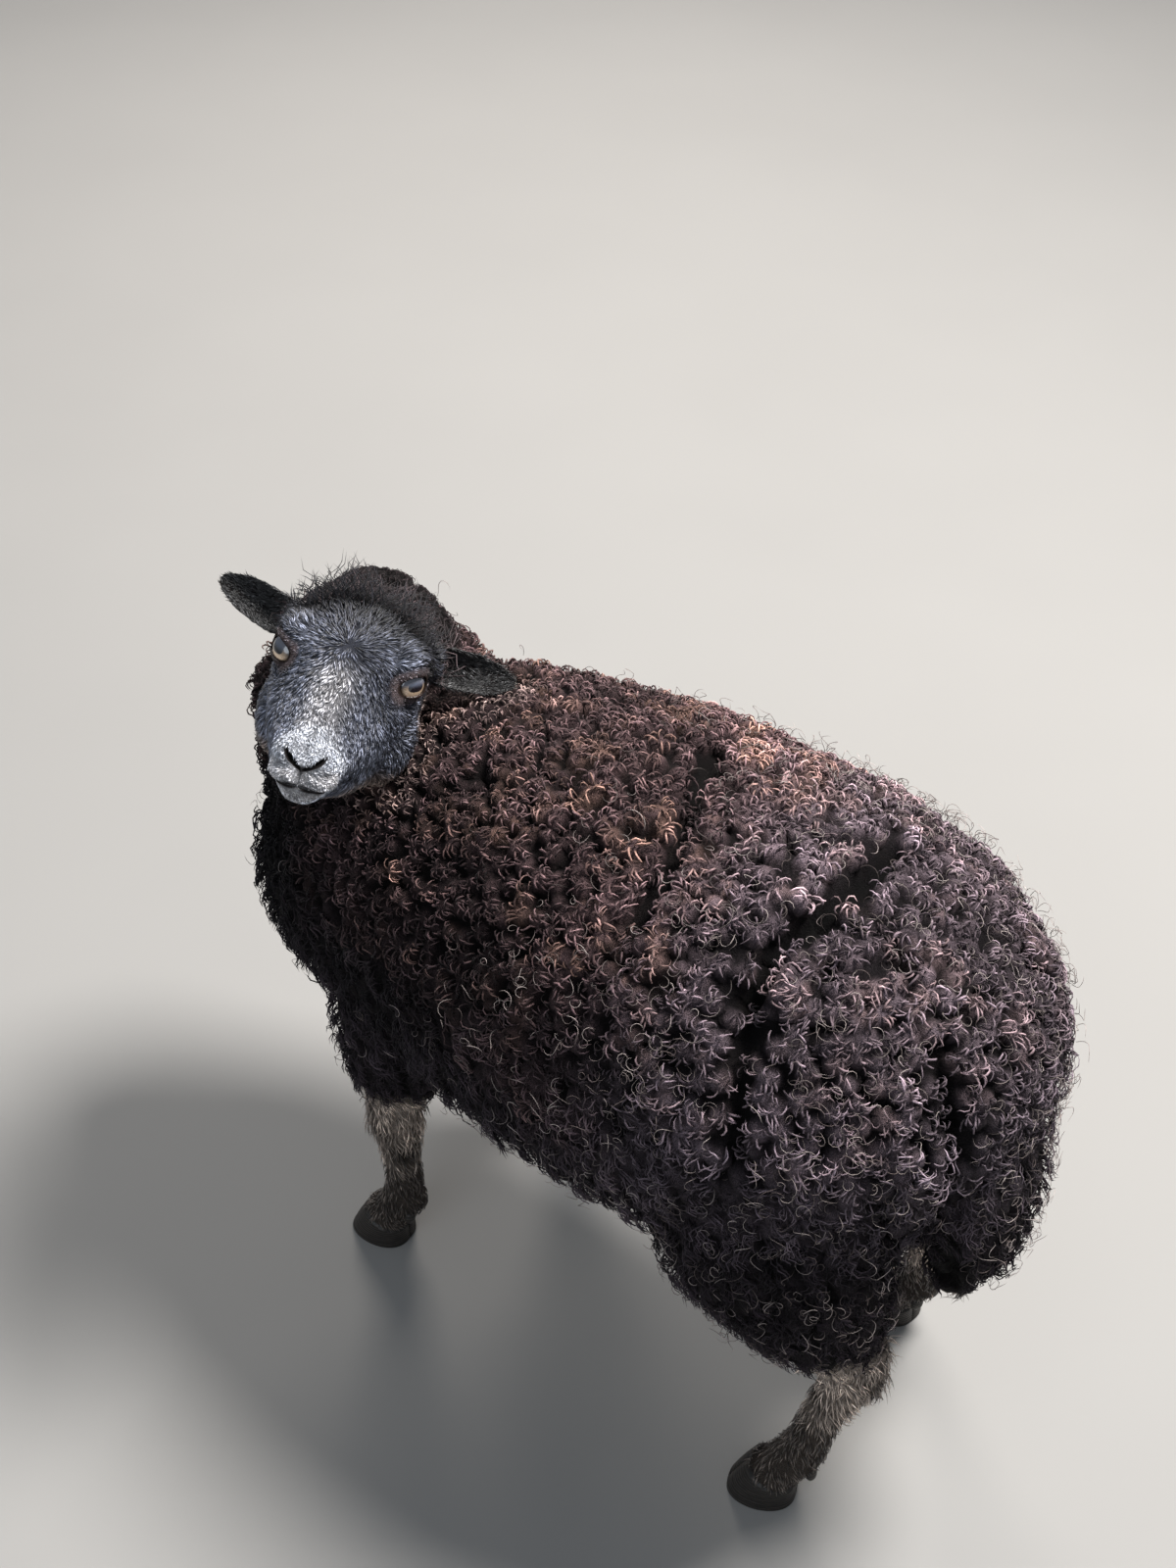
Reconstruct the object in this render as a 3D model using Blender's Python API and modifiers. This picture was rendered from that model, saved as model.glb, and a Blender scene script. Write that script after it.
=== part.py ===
"""Polled ouessant sheep standing still, its head turned back over its left side. Metres, Z up.

The sheep faces minus Y, its left side is plus X and its feet rest at Z = 0.
"""
import math
import random

import bmesh
import bpy
import numpy as np
from mathutils import Matrix, Vector
from mathutils.bvhtree import BVHTree

# Placing: moves the middle of the whole box over the origin
SHIFT = Vector((-0.0067, 0.0442, 0.0))

# Gap that touching nodes keep
GAP = 0.0003

# Torso stations out to the tips of the fleece
# each row: x, y, z, half width, height above, depth below
TORSO = (
    (0.0, -0.290, 0.288, 0.036, 0.040, 0.036),
    (0.0, -0.270, 0.288, 0.080, 0.086, 0.080),
    (0.0, -0.222, 0.292, 0.109, 0.114, 0.108),
    (0.0, -0.150, 0.302, 0.128, 0.140, 0.124),
    (0.0, -0.060, 0.306, 0.146, 0.150, 0.138),
    (0.0, 0.030, 0.310, 0.152, 0.148, 0.136),
    (0.0, 0.090, 0.312, 0.148, 0.144, 0.124),
    (0.0, 0.140, 0.308, 0.134, 0.130, 0.116),
    (0.0, 0.180, 0.300, 0.105, 0.106, 0.104),
    (0.0, 0.203, 0.292, 0.066, 0.068, 0.078),
    (0.0, 0.212, 0.288, 0.024, 0.026, 0.030),
)
TORSO_SIDES = 28
TORSO_STEPS = 3

# Neck stations, from inside the shoulders up and round to the left, same row layout
NECK = (
    (0.000, -0.120, 0.312, 0.100, 0.108, 0.100),
    (0.000, -0.175, 0.328, 0.096, 0.090, 0.102),
    (-0.006, -0.228, 0.350, 0.089, 0.080, 0.102),
    (-0.017, -0.250, 0.386, 0.078, 0.068, 0.092),
    (-0.008, -0.251, 0.420, 0.065, 0.057, 0.072),
    (0.018, -0.232, 0.440, 0.052, 0.049, 0.054),
)
NECK_SIDES = 20
NECK_STEPS = 3

# Tail stations from the croup down, row: x, y, z, half width, back, front
TAIL = (
    (0.000, 0.165, 0.350, 0.036, 0.030, 0.030),
    (0.000, 0.188, 0.325, 0.042, 0.034, 0.030),
    (0.000, 0.204, 0.285, 0.042, 0.032, 0.030),
    (0.000, 0.206, 0.240, 0.038, 0.028, 0.028),
    (0.000, 0.202, 0.200, 0.030, 0.022, 0.022),
    (0.000, 0.198, 0.172, 0.016, 0.012, 0.012),
)
TAIL_SIDES = 12
TAIL_STEPS = 2

# Woolly upper legs, row: x, y, z, half width, front, back
HIND_UPPER = (
    (0.076, 0.105, 0.300, 0.058, 0.070, 0.082),
    (0.080, 0.115, 0.240, 0.056, 0.076, 0.082),
    (0.078, 0.132, 0.198, 0.047, 0.068, 0.064),
    (0.071, 0.150, 0.165, 0.037, 0.050, 0.043),
    (0.061, 0.166, 0.138, 0.026, 0.031, 0.028),
    (0.058, 0.170, 0.120, 0.020, 0.022, 0.020),
)
FRONT_UPPER = (
    (0.070, -0.155, 0.270, 0.046, 0.050, 0.058),
    (0.073, -0.160, 0.210, 0.040, 0.040, 0.046),
    (0.075, -0.166, 0.170, 0.031, 0.032, 0.035),
    (0.076, -0.169, 0.142, 0.022, 0.023, 0.024),
    (0.076, -0.170, 0.122, 0.018, 0.019, 0.019),
)
LEG_SIDES = 14
LEG_STEPS = 2

# Short haired lower legs down to the coronet, same row layout
HIND_LOWER = (
    (0.0600, 0.1680, 0.1380, 0.0170, 0.0200, 0.0215),
    (0.0590, 0.1700, 0.1250, 0.0150, 0.0185, 0.0210),
    (0.0625, 0.1665, 0.1080, 0.0120, 0.0140, 0.0150),
    (0.0680, 0.1600, 0.0850, 0.0108, 0.0120, 0.0125),
    (0.0735, 0.1540, 0.0600, 0.0118, 0.0125, 0.0135),
    (0.0770, 0.1490, 0.0430, 0.0150, 0.0145, 0.0165),
    (0.0800, 0.1425, 0.0310, 0.0155, 0.0140, 0.0150),
)
FRONT_LOWER = (
    (0.0760, -0.1690, 0.1380, 0.0165, 0.0175, 0.0170),
    (0.0760, -0.1700, 0.1240, 0.0170, 0.0180, 0.0160),
    (0.0758, -0.1685, 0.1060, 0.0130, 0.0135, 0.0130),
    (0.0755, -0.1680, 0.0820, 0.0112, 0.0115, 0.0115),
    (0.0755, -0.1685, 0.0580, 0.0120, 0.0120, 0.0130),
    (0.0755, -0.1710, 0.0430, 0.0150, 0.0145, 0.0165),
    (0.0755, -0.1770, 0.0310, 0.0155, 0.0140, 0.0150),
)
KNEE_CUT = 0.1380

# Where tail, neck and upper legs part from the torso, as corners of boxes
TAIL_CUT = ((-0.046, 0.190, 0.100), (0.046, 0.320, 0.335))
NECK_CUT = ((-0.200, -0.300, 0.000), (0.200, 0.200, 0.300))
NECK_CUT_AT = (0.0, -0.190, 0.365)
NECK_CUT_TILT = 46.0
HIND_CUT_Y = (0.030, 0.210)
FRONT_CUT_Y = (-0.260, -0.100)
LEG_CUT_X = (0.030, 0.200)
HIND_CUT_TOP = 0.200
FRONT_CUT_TOP = 0.195
BONE_SIDES = 12
BONE_STEPS = 2

# Cloven feet: heel to toe length, one claw's width, cleft and coronet
CLAW_LENGTH = 0.0430
CLAW_WIDTH = 0.0175
CLEFT = 0.0012
CORONET_LENGTH = 0.0300
CORONET_WIDTH = 0.0160
CORONET_TOE_Z = 0.0270
CORONET_HEEL_Z = 0.0150
CLAW_FORWARD = 0.0060
CLAW_LEAN = 0.0060
CLAW_INSIDE_POINTS = 5
CLAW_OUTSIDE_POINTS = 7
CLAW_ROUNDNESS = 0.75
WALL_FOOT_Z = 0.0050
PASTERN_OVER = 0.0008
DEWCLAW = (0.0040, 0.0032, 0.0060)
DEWCLAW_AT = (0.0085, -0.0010, -0.0060)

# Legs: name, side, how far back the leg stands, sideways turn of the foot in degrees
LEGS = (
    ("leg_hind_left", 1.0, 0.000, 22.0),
    ("leg_hind_right", -1.0, -0.012, -12.0),
    ("leg_front_left", 1.0, 0.000, 8.0),
    ("leg_front_right", -1.0, 0.022, -8.0),
)

# Fleece: depth from the smooth core to the tips of the clumps
COAT = 0.013
LIMB_COAT = 0.007
CORE_VOXEL = 0.010
CORE_SMOOTHING = 2
CORE_TRIANGLES = 1000
FLEECE_TRIANGLES = 7800

# Clump sizes: spacing, half length, half width, half height, root depth
BODY_CLUMP = (0.0540, 0.0400, 0.0360, 0.0205, 0.0070)
POLL_CLUMP = (0.0230, 0.0170, 0.0155, 0.0130, 0.0030)
CLUMP_AROUND = 6
CLUMP_UP = 5
CLUMP_TILT = (0.05, 0.30)
CLUMP_VARIES = (0.88, 1.14)
BODY_SEED = 11
POLL_SEED = 5

# Even spread of the clumps: points tried, least share of the spacing, rounds of evening out
CANDIDATES = 5000
PACKING = 0.84
EVEN_ROUNDS = 6

# Scale of the clumps on the limbs, on the tail and within reach of the head
LIMB_SCALE = 0.76
TAIL_SCALE = 0.80
NEAR_HEAD_SCALE = 0.62
HEAD_REACH = 0.130

# Fleece ends above this height, limbs start below the next one and out from the middle
FLEECE_END_Z = 0.146
LIMB_TOP_Z = 0.200
LIMB_FROM_X = 0.020
TAIL_FROM_Y = 0.170
TAIL_HALF = 0.045
TAIL_TOP_Z = 0.340

# Crown wool: from behind the brow, above this height and no wider than the ears
CROWN_BACK_Y = 0.022
CROWN_UP_Z = 0.006
CROWN_HALF = 0.030

# Head pose: the point between the eyes, then turn, lift and tilt in degrees
HEAD_AT = Vector((0.072, -0.184, 0.480))
HEAD_SCALE = 0.96
HEAD_TURN = 123.2
HEAD_LIFT = -22.0
HEAD_TILT = 13.7

# Head stations in its own frame, nose along minus Y, point between the eyes at 0
# each row: forward, top, bottom, half width at the top, at the middle, at the bottom
HEAD = (
    (-0.064, 0.012, -0.052, 0.020, 0.030, 0.022),
    (-0.056, 0.022, -0.062, 0.028, 0.040, 0.030),
    (-0.042, 0.029, -0.070, 0.033, 0.044, 0.035),
    (-0.024, 0.030, -0.074, 0.035, 0.044, 0.037),
    (-0.006, 0.026, -0.074, 0.033, 0.041, 0.035),
    (0.012, 0.019, -0.071, 0.028, 0.037, 0.031),
    (0.030, 0.010, -0.067, 0.022, 0.033, 0.027),
    (0.048, 0.000, -0.062, 0.017, 0.0275, 0.022),
    (0.064, -0.009, -0.057, 0.0140, 0.0224, 0.0180),
    (0.078, -0.017, -0.054, 0.0128, 0.0194, 0.0150),
    (0.088, -0.023, -0.051, 0.0108, 0.0164, 0.0124),
    (0.095, -0.029, -0.046, 0.0062, 0.0100, 0.0070),
)
HEAD_SIDES = 26
HEAD_STEPS = 3
HEAD_VOXEL = 0.0022
HEAD_SMOOTHING = 5
HEAD_TRIANGLES = 1500
SHAPE_TRIANGLES = 900
HEAD_CLEARANCE = 0.0009

# Lumps of the head: side, forward, up, then radii across, along and up
ORBIT = (0.0325, -0.0100, 0.0060, 0.0135, 0.0190, 0.0150)
CHEEK = (0.0280, -0.0220, -0.0400, 0.0190, 0.0330, 0.0300)
NOSE_WING = (0.0082, 0.0840, -0.0290, 0.0098, 0.0120, 0.0092)
UPPER_LIP = (0.0087, 0.0830, -0.0385, 0.0103, 0.0138, 0.0078)
CHIN = (0.0, 0.0760, -0.0490, 0.0120, 0.0136, 0.0078)
EAR_ROOT = (0.0370, -0.0450, 0.0030, 0.0120, 0.0120, 0.0120)

# Eyes: centre, ball radius, lid thickness, opening and direction of gaze
# each row of the slit: distance from the ball's centre, share of the opening
EYE_AT = (0.0325, -0.0070, 0.0000)
EYE_RADIUS = 0.0125
LID_THICKNESS = 0.0018
EYE_OPENING = (0.0112, 0.0064)
EYE_CORNER = 0.8
SLIT = ((0.004, 0.55), (0.0125, 1.00), (0.0250, 1.50))
SLIT_SIDES = 12
EYE_OUT = 45.0
EYE_UP = 4.0
EYE_SLANT = 10.0

# Nostrils and the grooves of mouth and upper lip, as points side, forward, up
NOSTRIL_AT = (0.0063, 0.0945, -0.0285)
NOSTRIL_SIZE = (0.0074, 0.0070, 0.0022)
NOSTRIL_SLANT = 42.0
NOSTRIL_OUT = 28.0
MOUTH_LINE = (
    (0.0235, 0.0500, -0.0460),
    (0.0215, 0.0640, -0.0465),
    (0.0180, 0.0790, -0.0455),
    (0.0105, 0.0920, -0.0442),
    (0.0000, 0.0970, -0.0428),
)
GROOVE_ABOVE = 0.003
MOUTH_WIDTH = 0.0016
MOUTH_DEPTH = 0.0028
PHILTRUM = ((0.0, 0.0960, -0.0325), (0.0, 0.0975, -0.0370), (0.0, 0.0975, -0.0415))

# Ears: root, direction and size in the head's frame
EAR_AT = (0.0400, -0.0450, 0.0030)
EAR_OUT = 74.0
EAR_RISE = {1.0: -2.0, -1.0: 11.0}
EAR_ROLL = {1.0: -30.0, -1.0: -15.0}
EAR_LENGTH = 0.067
EAR_ROOT_DEPTH = 0.010
EAR_THICKNESS = 0.0022
# each row: share of the length, half width, half angle of the cup in degrees
EAR = (
    (0.00, 0.0092, 150.0),
    (0.14, 0.0102, 125.0),
    (0.32, 0.0118, 96.0),
    (0.52, 0.0122, 80.0),
    (0.72, 0.0106, 66.0),
    (0.88, 0.0070, 52.0),
    (0.98, 0.0028, 40.0),
)
EAR_ACROSS = 6
EAR_STEPS = 2

# Colours, linear, with roughness
WOOL = ((0.020, 0.012, 0.011), 0.95)
FACE = ((0.012, 0.011, 0.013), 0.80)
SKIN = ((0.010, 0.008, 0.008), 0.75)
SHANK = ((0.030, 0.020, 0.014), 0.85)
AMBER = ((0.300, 0.190, 0.090), 0.12)
HORN = ((0.030, 0.024, 0.020), 0.50)


def collection(name, hidden):
    """Make a collection in the scene, kept out of renders when hidden."""
    made = bpy.data.collections.new(name)
    bpy.context.scene.collection.children.link(made)
    made.hide_render = hidden
    return made


def mesh_object(name, verts, faces, home):
    """Make an object from points and faces, its normals outwards."""
    mesh = bpy.data.meshes.new(name)
    mesh.from_pydata([tuple(v) for v in verts], [], faces)
    work = bmesh.new()
    work.from_mesh(mesh)
    bmesh.ops.recalc_face_normals(work, faces=work.faces)
    work.to_mesh(mesh)
    work.free()
    made = bpy.data.objects.new(name, mesh)
    home.objects.link(made)
    return made


def spline(rows, steps):
    """Pass a smooth curve through rows of numbers, steps samples to each span."""
    out = []
    last = len(rows) - 1
    for i in range(last):
        a, b = rows[max(i - 1, 0)], rows[i]
        c, d = rows[i + 1], rows[min(i + 2, last)]
        for k in range(steps):
            t = k / steps
            out.append(tuple(curve_value(a[j], b[j], c[j], d[j], t) for j in range(len(b))))
    out.append(tuple(rows[-1]))
    return out


def curve_value(a, b, c, d, t):
    """Catmull-Rom value between b and c."""
    low = 2.0 * b + (c - a) * t
    high = (2.0 * a - 5.0 * b + 4.0 * c - d) * t * t + (3.0 * b - a - 3.0 * c + d) * t * t * t
    return 0.5 * (low + high)


def loft(name, rings, home):
    """Join rings of equally many points into one closed body."""
    count = len(rings[0])
    verts = [point for ring in rings for point in ring]
    faces = [tuple(range(count))[::-1]]
    for r in range(len(rings) - 1):
        base = r * count
        for k in range(count):
            n = (k + 1) % count
            faces.append((base + k, base + n, base + count + n, base + count + k))
    last = (len(rings) - 1) * count
    faces.append(tuple(last + k for k in range(count)))
    return mesh_object(name, verts, faces, home)


def tube(name, rows, hint, sides, steps, home, inset=0.0, level=False):
    """Loft ovals along a path. Rows hold x, y, z, half width, reach along hint, reach against it."""
    path = spline(rows, steps)
    rings = []
    for i, row in enumerate(path):
        here = Vector(row[:3])
        ahead = Vector(path[min(i + 1, len(path) - 1)][:3]) - Vector(path[max(i - 1, 0)][:3])
        if level:
            ahead = Vector((0.0, 0.0, ahead.z))
        ahead.normalize()
        across = ahead.cross(hint).normalized()
        over = across.cross(ahead)
        ring = []
        for k in range(sides):
            a = 2.0 * math.pi * k / sides
            side, lift = math.cos(a), math.sin(a)
            reach = row[4] if lift > 0.0 else row[5]
            ring.append(here + across * side * (row[3] - inset) + over * lift * (reach - inset))
        rings.append(ring)
    return loft(name, rings, home)


def ball(name, at, radii, turn, home, around=12, up=8):
    """A scaled round body at a point, turned by a 3 by 3 matrix."""
    mesh = bpy.data.meshes.new(name)
    work = bmesh.new()
    bmesh.ops.create_uvsphere(work, u_segments=around, v_segments=up, radius=1.0)
    place = Matrix.Translation(at) @ turn.to_4x4() @ Matrix.Diagonal((*radii, 1.0))
    bmesh.ops.transform(work, matrix=place, verts=work.verts)
    work.to_mesh(mesh)
    work.free()
    made = bpy.data.objects.new(name, mesh)
    home.objects.link(made)
    return made


def block(name, low, high, home, frame=Matrix.Identity(4)):
    """A box between two corners, placed by a frame."""
    corners = [(x, y, z) for x in (low[0], high[0]) for y in (low[1], high[1])
               for z in (low[2], high[2])]
    faces = [(0, 1, 3, 2), (4, 6, 7, 5), (0, 4, 5, 1), (2, 3, 7, 6), (0, 2, 6, 4), (1, 5, 7, 3)]
    return mesh_object(name, [frame @ Vector(c) for c in corners], faces, home)


def settle(obj):
    """Apply an object's modifiers."""
    graph = bpy.context.evaluated_depsgraph_get()
    made = bpy.data.meshes.new_from_object(obj.evaluated_get(graph))
    old = obj.data
    obj.modifiers.clear()
    obj.data = made
    bpy.data.meshes.remove(old)
    return obj


def combine(obj, other, operation):
    """Apply a Boolean of one object with another."""
    step = obj.modifiers.new("join", "BOOLEAN")
    step.operation = operation
    step.solver = "MANIFOLD"
    step.object = other
    return settle(obj)


def fuse(obj, group):
    """Union an object with every piece of a collection, then remove the pieces."""
    step = obj.modifiers.new("fuse", "BOOLEAN")
    step.operation = "UNION"
    step.solver = "MANIFOLD"
    step.operand_type = "COLLECTION"
    step.collection = group
    settle(obj)
    for piece in list(group.objects):
        bpy.data.objects.remove(piece)
    return keep_largest(obj)


def shells(work):
    """Connected sets of faces of a mesh under edit."""
    left = set(work.faces)
    found = []
    while left:
        seed = left.pop()
        shell, front = {seed}, [seed]
        while front:
            for edge in front.pop().edges:
                for face in edge.link_faces:
                    if face in left:
                        left.discard(face)
                        shell.add(face)
                        front.append(face)
        found.append(shell)
    return found


def keep_largest(obj):
    """Keep only the closed surface with the most area."""
    work = bmesh.new()
    work.from_mesh(obj.data)
    found = sorted(shells(work), key=lambda s: sum(f.calc_area() for f in s))
    for shell in found[:-1]:
        bmesh.ops.delete(work, geom=list(shell), context="FACES")
    bmesh.ops.triangulate(work, faces=work.faces)
    work.to_mesh(obj.data)
    work.free()
    return obj


def thin_out(obj, triangles):
    """Bring a body down to about so many triangles."""
    keep_largest(obj)
    fewer = obj.modifiers.new("fewer", "DECIMATE")
    fewer.ratio = min(1.0, triangles / len(obj.data.polygons))
    settle(obj)
    return keep_largest(obj)


def grown(obj, by, home):
    """A copy of a body with its surface moved outwards."""
    made = bpy.data.objects.new(obj.name + "_grown", obj.data.copy())
    home.objects.link(made)
    normals = [v.normal.copy() for v in made.data.vertices]
    for vertex, normal in zip(made.data.vertices, normals):
        vertex.co += normal * by
    return made


def copy_of(obj, name, home):
    """A second object with its own mesh."""
    made = bpy.data.objects.new(name, obj.data.copy())
    home.objects.link(made)
    return made


def carve(obj, tool, home, clearance=GAP * 1.4):
    """Cut one body clear of another by the gap."""
    cutter = grown(tool, clearance, home)
    combine(obj, cutter, "DIFFERENCE")
    bpy.data.objects.remove(cutter)
    return keep_largest(obj)


def part_off(whole, name, low, high, home, frame=Matrix.Identity(4)):
    """Take the share of a body inside a box as a node of its own, a gap apart."""
    inner = block("inner", low, high, home, frame)
    piece = copy_of(whole, name, home)
    combine(piece, inner, "INTERSECT")
    wide = Vector((GAP, GAP, GAP))
    outer = block("outer", Vector(low) - wide, Vector(high) + wide, home, frame)
    combine(whole, outer, "DIFFERENCE")
    bpy.data.objects.remove(inner)
    bpy.data.objects.remove(outer)
    return keep_largest(piece)


def head_matrix():
    """Frame of the head: nose along minus Y, left along X, up along Z."""
    turn = Matrix.Rotation(math.radians(HEAD_TURN), 4, "Z")
    lift = Matrix.Rotation(math.radians(HEAD_LIFT), 4, "X")
    tilt = Matrix.Rotation(math.radians(HEAD_TILT), 4, "Y")
    size = Matrix.Diagonal((HEAD_SCALE, HEAD_SCALE, HEAD_SCALE, 1.0))
    return Matrix.Translation(HEAD_AT) @ turn @ lift @ tilt @ size


def local(side, forward, up):
    """A point of the head's frame from side, forward and up."""
    return Vector((side, -forward, up))


def head_ring(row):
    """Closed outline of the head across its length."""
    forward, top, bottom, wide_top, wide_mid, wide_low = row
    tall = top - bottom
    half = [(0.0, top), (wide_top * 0.55, top - 0.035 * tall), (wide_top, top - 0.16 * tall),
            (wide_mid, top - 0.42 * tall), (0.5 * (wide_mid + wide_low), top - 0.68 * tall),
            (wide_low * 0.86, top - 0.88 * tall), (wide_low * 0.48, top - 0.975 * tall),
            (0.0, bottom)]
    loop = half + [(-x, z) for x, z in half[-2:0:-1]]
    count = len(loop)
    ring = []
    for k in range(HEAD_SIDES):
        at = k * count / HEAD_SIDES
        i, t = int(at), at - int(at)
        a, b, c, d = (loop[(i + j) % count] for j in (-1, 0, 1, 2))
        x = curve_value(a[0], b[0], c[0], d[0], t)
        z = curve_value(a[1], b[1], c[1], d[1], t)
        ring.append(local(x, forward, z))
    return ring


def lump(row, side, home):
    """An oval body of the head on one side."""
    at = local(row[0] * side, row[1], row[2])
    return ball("lump", at, row[3:6], Matrix.Identity(3), home, 16, 10)


def head_body(group, home):
    """Head without its openings, smooth, in its own frame."""
    head = loft("head", [head_ring(row) for row in spline(HEAD, HEAD_STEPS)], home)
    for row in (ORBIT, CHEEK, NOSE_WING, UPPER_LIP, EAR_ROOT):
        for side in (1.0, -1.0):
            lump(row, side, group)
    lump(CHIN, 1.0, group)
    fuse(head, group)
    skin = head.modifiers.new("skin", "REMESH")
    skin.mode = "VOXEL"
    skin.voxel_size = HEAD_VOXEL
    settle(head)
    soft = head.modifiers.new("soft", "SMOOTH")
    soft.factor = 0.5
    soft.iterations = HEAD_SMOOTHING
    settle(head)
    return thin_out(head, HEAD_TRIANGLES)


def eye_turn(side):
    """Rotation that takes Z to the gaze of one eye and X to its long axis."""
    out = Matrix.Rotation(math.radians(EYE_OUT) * side, 3, "Z")
    up = Matrix.Rotation(math.radians(90.0 - EYE_UP), 3, "X")
    slant = Matrix.Rotation(math.radians(EYE_SLANT) * side, 3, "Z")
    return out @ up @ slant


def open_eye(head, side, group):
    """Lids over one eye, with an almond opening and a socket round the ball."""
    at = local(EYE_AT[0] * side, EYE_AT[1], EYE_AT[2])
    turn = eye_turn(side)
    lid_radius = EYE_RADIUS + LID_THICKNESS
    lids = ball("lids", at, (lid_radius,) * 3, turn, group, 14, 8)
    combine(head, lids, "UNION")
    bpy.data.objects.remove(lids)
    rings = []
    for depth, share in SLIT:
        ring = []
        for k in range(SLIT_SIDES):
            a = 2.0 * math.pi * k / SLIT_SIDES
            narrow = abs(math.sin(a)) ** EYE_CORNER * math.copysign(1.0, math.sin(a))
            spot = Vector((math.cos(a) * EYE_OPENING[0], narrow * EYE_OPENING[1], 0.0)) * share
            ring.append(at + turn @ (spot + Vector((0.0, 0.0, depth))))
        rings.append(ring)
    slit = loft("slit", rings, group)
    combine(head, slit, "DIFFERENCE")
    bpy.data.objects.remove(slit)
    socket = ball("socket", at, (EYE_RADIUS + GAP * 1.5,) * 3, turn, group, 14, 8)
    combine(head, socket, "DIFFERENCE")
    bpy.data.objects.remove(socket)


def groove(head, guide, width, depth, group):
    """Press a V groove into a body along guide points near its surface."""
    work = bmesh.new()
    work.from_mesh(head.data)
    tree = BVHTree.FromBMesh(work)
    work.free()
    spots = []
    for point in spline(guide, 2):
        at, normal, _, _ = tree.find_nearest(Vector(point))
        spots.append((at, normal))
    rings = []
    for i, (at, normal) in enumerate(spots):
        ahead = spots[min(i + 1, len(spots) - 1)][0] - spots[max(i - 1, 0)][0]
        across = ahead.cross(normal).normalized() * width
        out = normal * GROOVE_ABOVE
        rings.append([at - normal * depth, at + across + out, at - across + out])
    cutter = loft("groove", rings, group)
    combine(head, cutter, "DIFFERENCE")
    bpy.data.objects.remove(cutter)


def open_nose(head, side, group):
    """One slanting nostril."""
    at = local(NOSTRIL_AT[0] * side, NOSTRIL_AT[1], NOSTRIL_AT[2])
    slant = Matrix.Rotation(-math.radians(NOSTRIL_SLANT) * side, 3, "Y")
    turn = Matrix.Rotation(math.radians(NOSTRIL_OUT) * side, 3, "Z") @ slant
    cutter = ball("nostril", at, NOSTRIL_SIZE, turn, group, 12, 8)
    combine(head, cutter, "DIFFERENCE")
    bpy.data.objects.remove(cutter)


def both_sides(half):
    """Guide points from one corner over the middle to the other corner."""
    left = [local(*p) for p in half]
    return left + [Vector((-p.x, p.y, p.z)) for p in left[-2::-1]]


def ear_matrix(side):
    """Frame of one ear: tip along X, open side towards minus Y."""
    out = Matrix.Rotation(math.radians(90.0 - EAR_OUT), 4, "Z")
    rise = Matrix.Rotation(-math.radians(EAR_RISE[side]), 4, "Y")
    roll = Matrix.Rotation(math.radians(EAR_ROLL[side]), 4, "X")
    place = Matrix.Translation(Vector((EAR_AT[0], -EAR_AT[1], EAR_AT[2]))) @ out @ rise @ roll
    return Matrix.Diagonal((side, 1.0, 1.0, 1.0)) @ place


def ear_body(side, home):
    """A cupped leaf, rolled nearly to a pipe at its root."""
    frame = ear_matrix(side)
    rings = []
    for share, half, cup in spline(EAR, EAR_STEPS):
        along = share * EAR_LENGTH - EAR_ROOT_DEPTH
        angle = math.radians(cup)
        radius = half / math.sin(min(angle, math.pi * 0.5))
        thick = EAR_THICKNESS * (1.0 - 0.55 * share)
        outer, inner = [], []
        for k in range(EAR_ACROSS):
            a = angle * (2.0 * k / (EAR_ACROSS - 1) - 1.0)
            edge = 1.0 - 0.35 * abs(2.0 * k / (EAR_ACROSS - 1) - 1.0)
            mid = radius * math.cos(angle)
            for reach, line in ((radius, outer), (radius - thick * edge, inner)):
                line.append(frame @ Vector((along, reach * math.cos(a) - mid,
                                            reach * math.sin(a))))
        rings.append(outer + inner[::-1])
    return loft("ear", rings, home)


def poll_wool(head, group):
    """Small clumps of wool over the poll, between the ears."""
    rng = random.Random(POLL_SEED)
    cover(head, group, rng, POLL_CLUMP, poll_share, poll_lie)


def cover(body, group, rng, size, share, lie):
    """Set clumps evenly over the part of a body where share is above nothing."""
    points, normals, scales = [], [], []
    for at, normal in surface_points(body, rng, CANDIDATES):
        scale = share(at, normal)
        if scale > 0.0:
            points.append(at)
            normals.append(normal)
            scales.append(scale)
    chosen = even_choice(np.array(points), np.array(scales) * size[0])
    for i in chosen:
        clump(points[i], normals[i], lie(points[i], normals[i]), size, scales[i], rng, group)
    return fuse(body, group)


def even_choice(points, near):
    """Pick points about a spacing apart, then even them out."""
    chosen = []
    for i, point in enumerate(points):
        if all(np.linalg.norm(points[chosen] - point, axis=1) > near[i] * PACKING):
            chosen.append(i)
    for _ in range(EVEN_ROUNDS):
        gap = np.linalg.norm(points[:, None] - points[chosen][None], axis=2) / near[chosen]
        owner = gap.argmin(axis=1)
        moved = []
        for k in range(len(chosen)):
            own = np.flatnonzero(owner == k)
            middle = np.average(points[own], axis=0)
            moved.append(own[np.linalg.norm(points[own] - middle, axis=1).argmin()])
        chosen = moved
    return chosen


def surface_points(body, rng, count):
    """Random points of a surface with their normals, even over its area."""
    work = bmesh.new()
    work.from_mesh(body.data)
    bmesh.ops.triangulate(work, faces=work.faces)
    faces = list(work.faces)
    areas = [f.calc_area() for f in faces]
    points = []
    for face in rng.choices(faces, weights=areas, k=count):
        a, b = sorted((rng.random(), rng.random()))
        p, q, r = (v.co for v in face.verts)
        points.append((p * a + q * (b - a) + r * (1.0 - b), face.normal.copy()))
    work.free()
    return points


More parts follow.
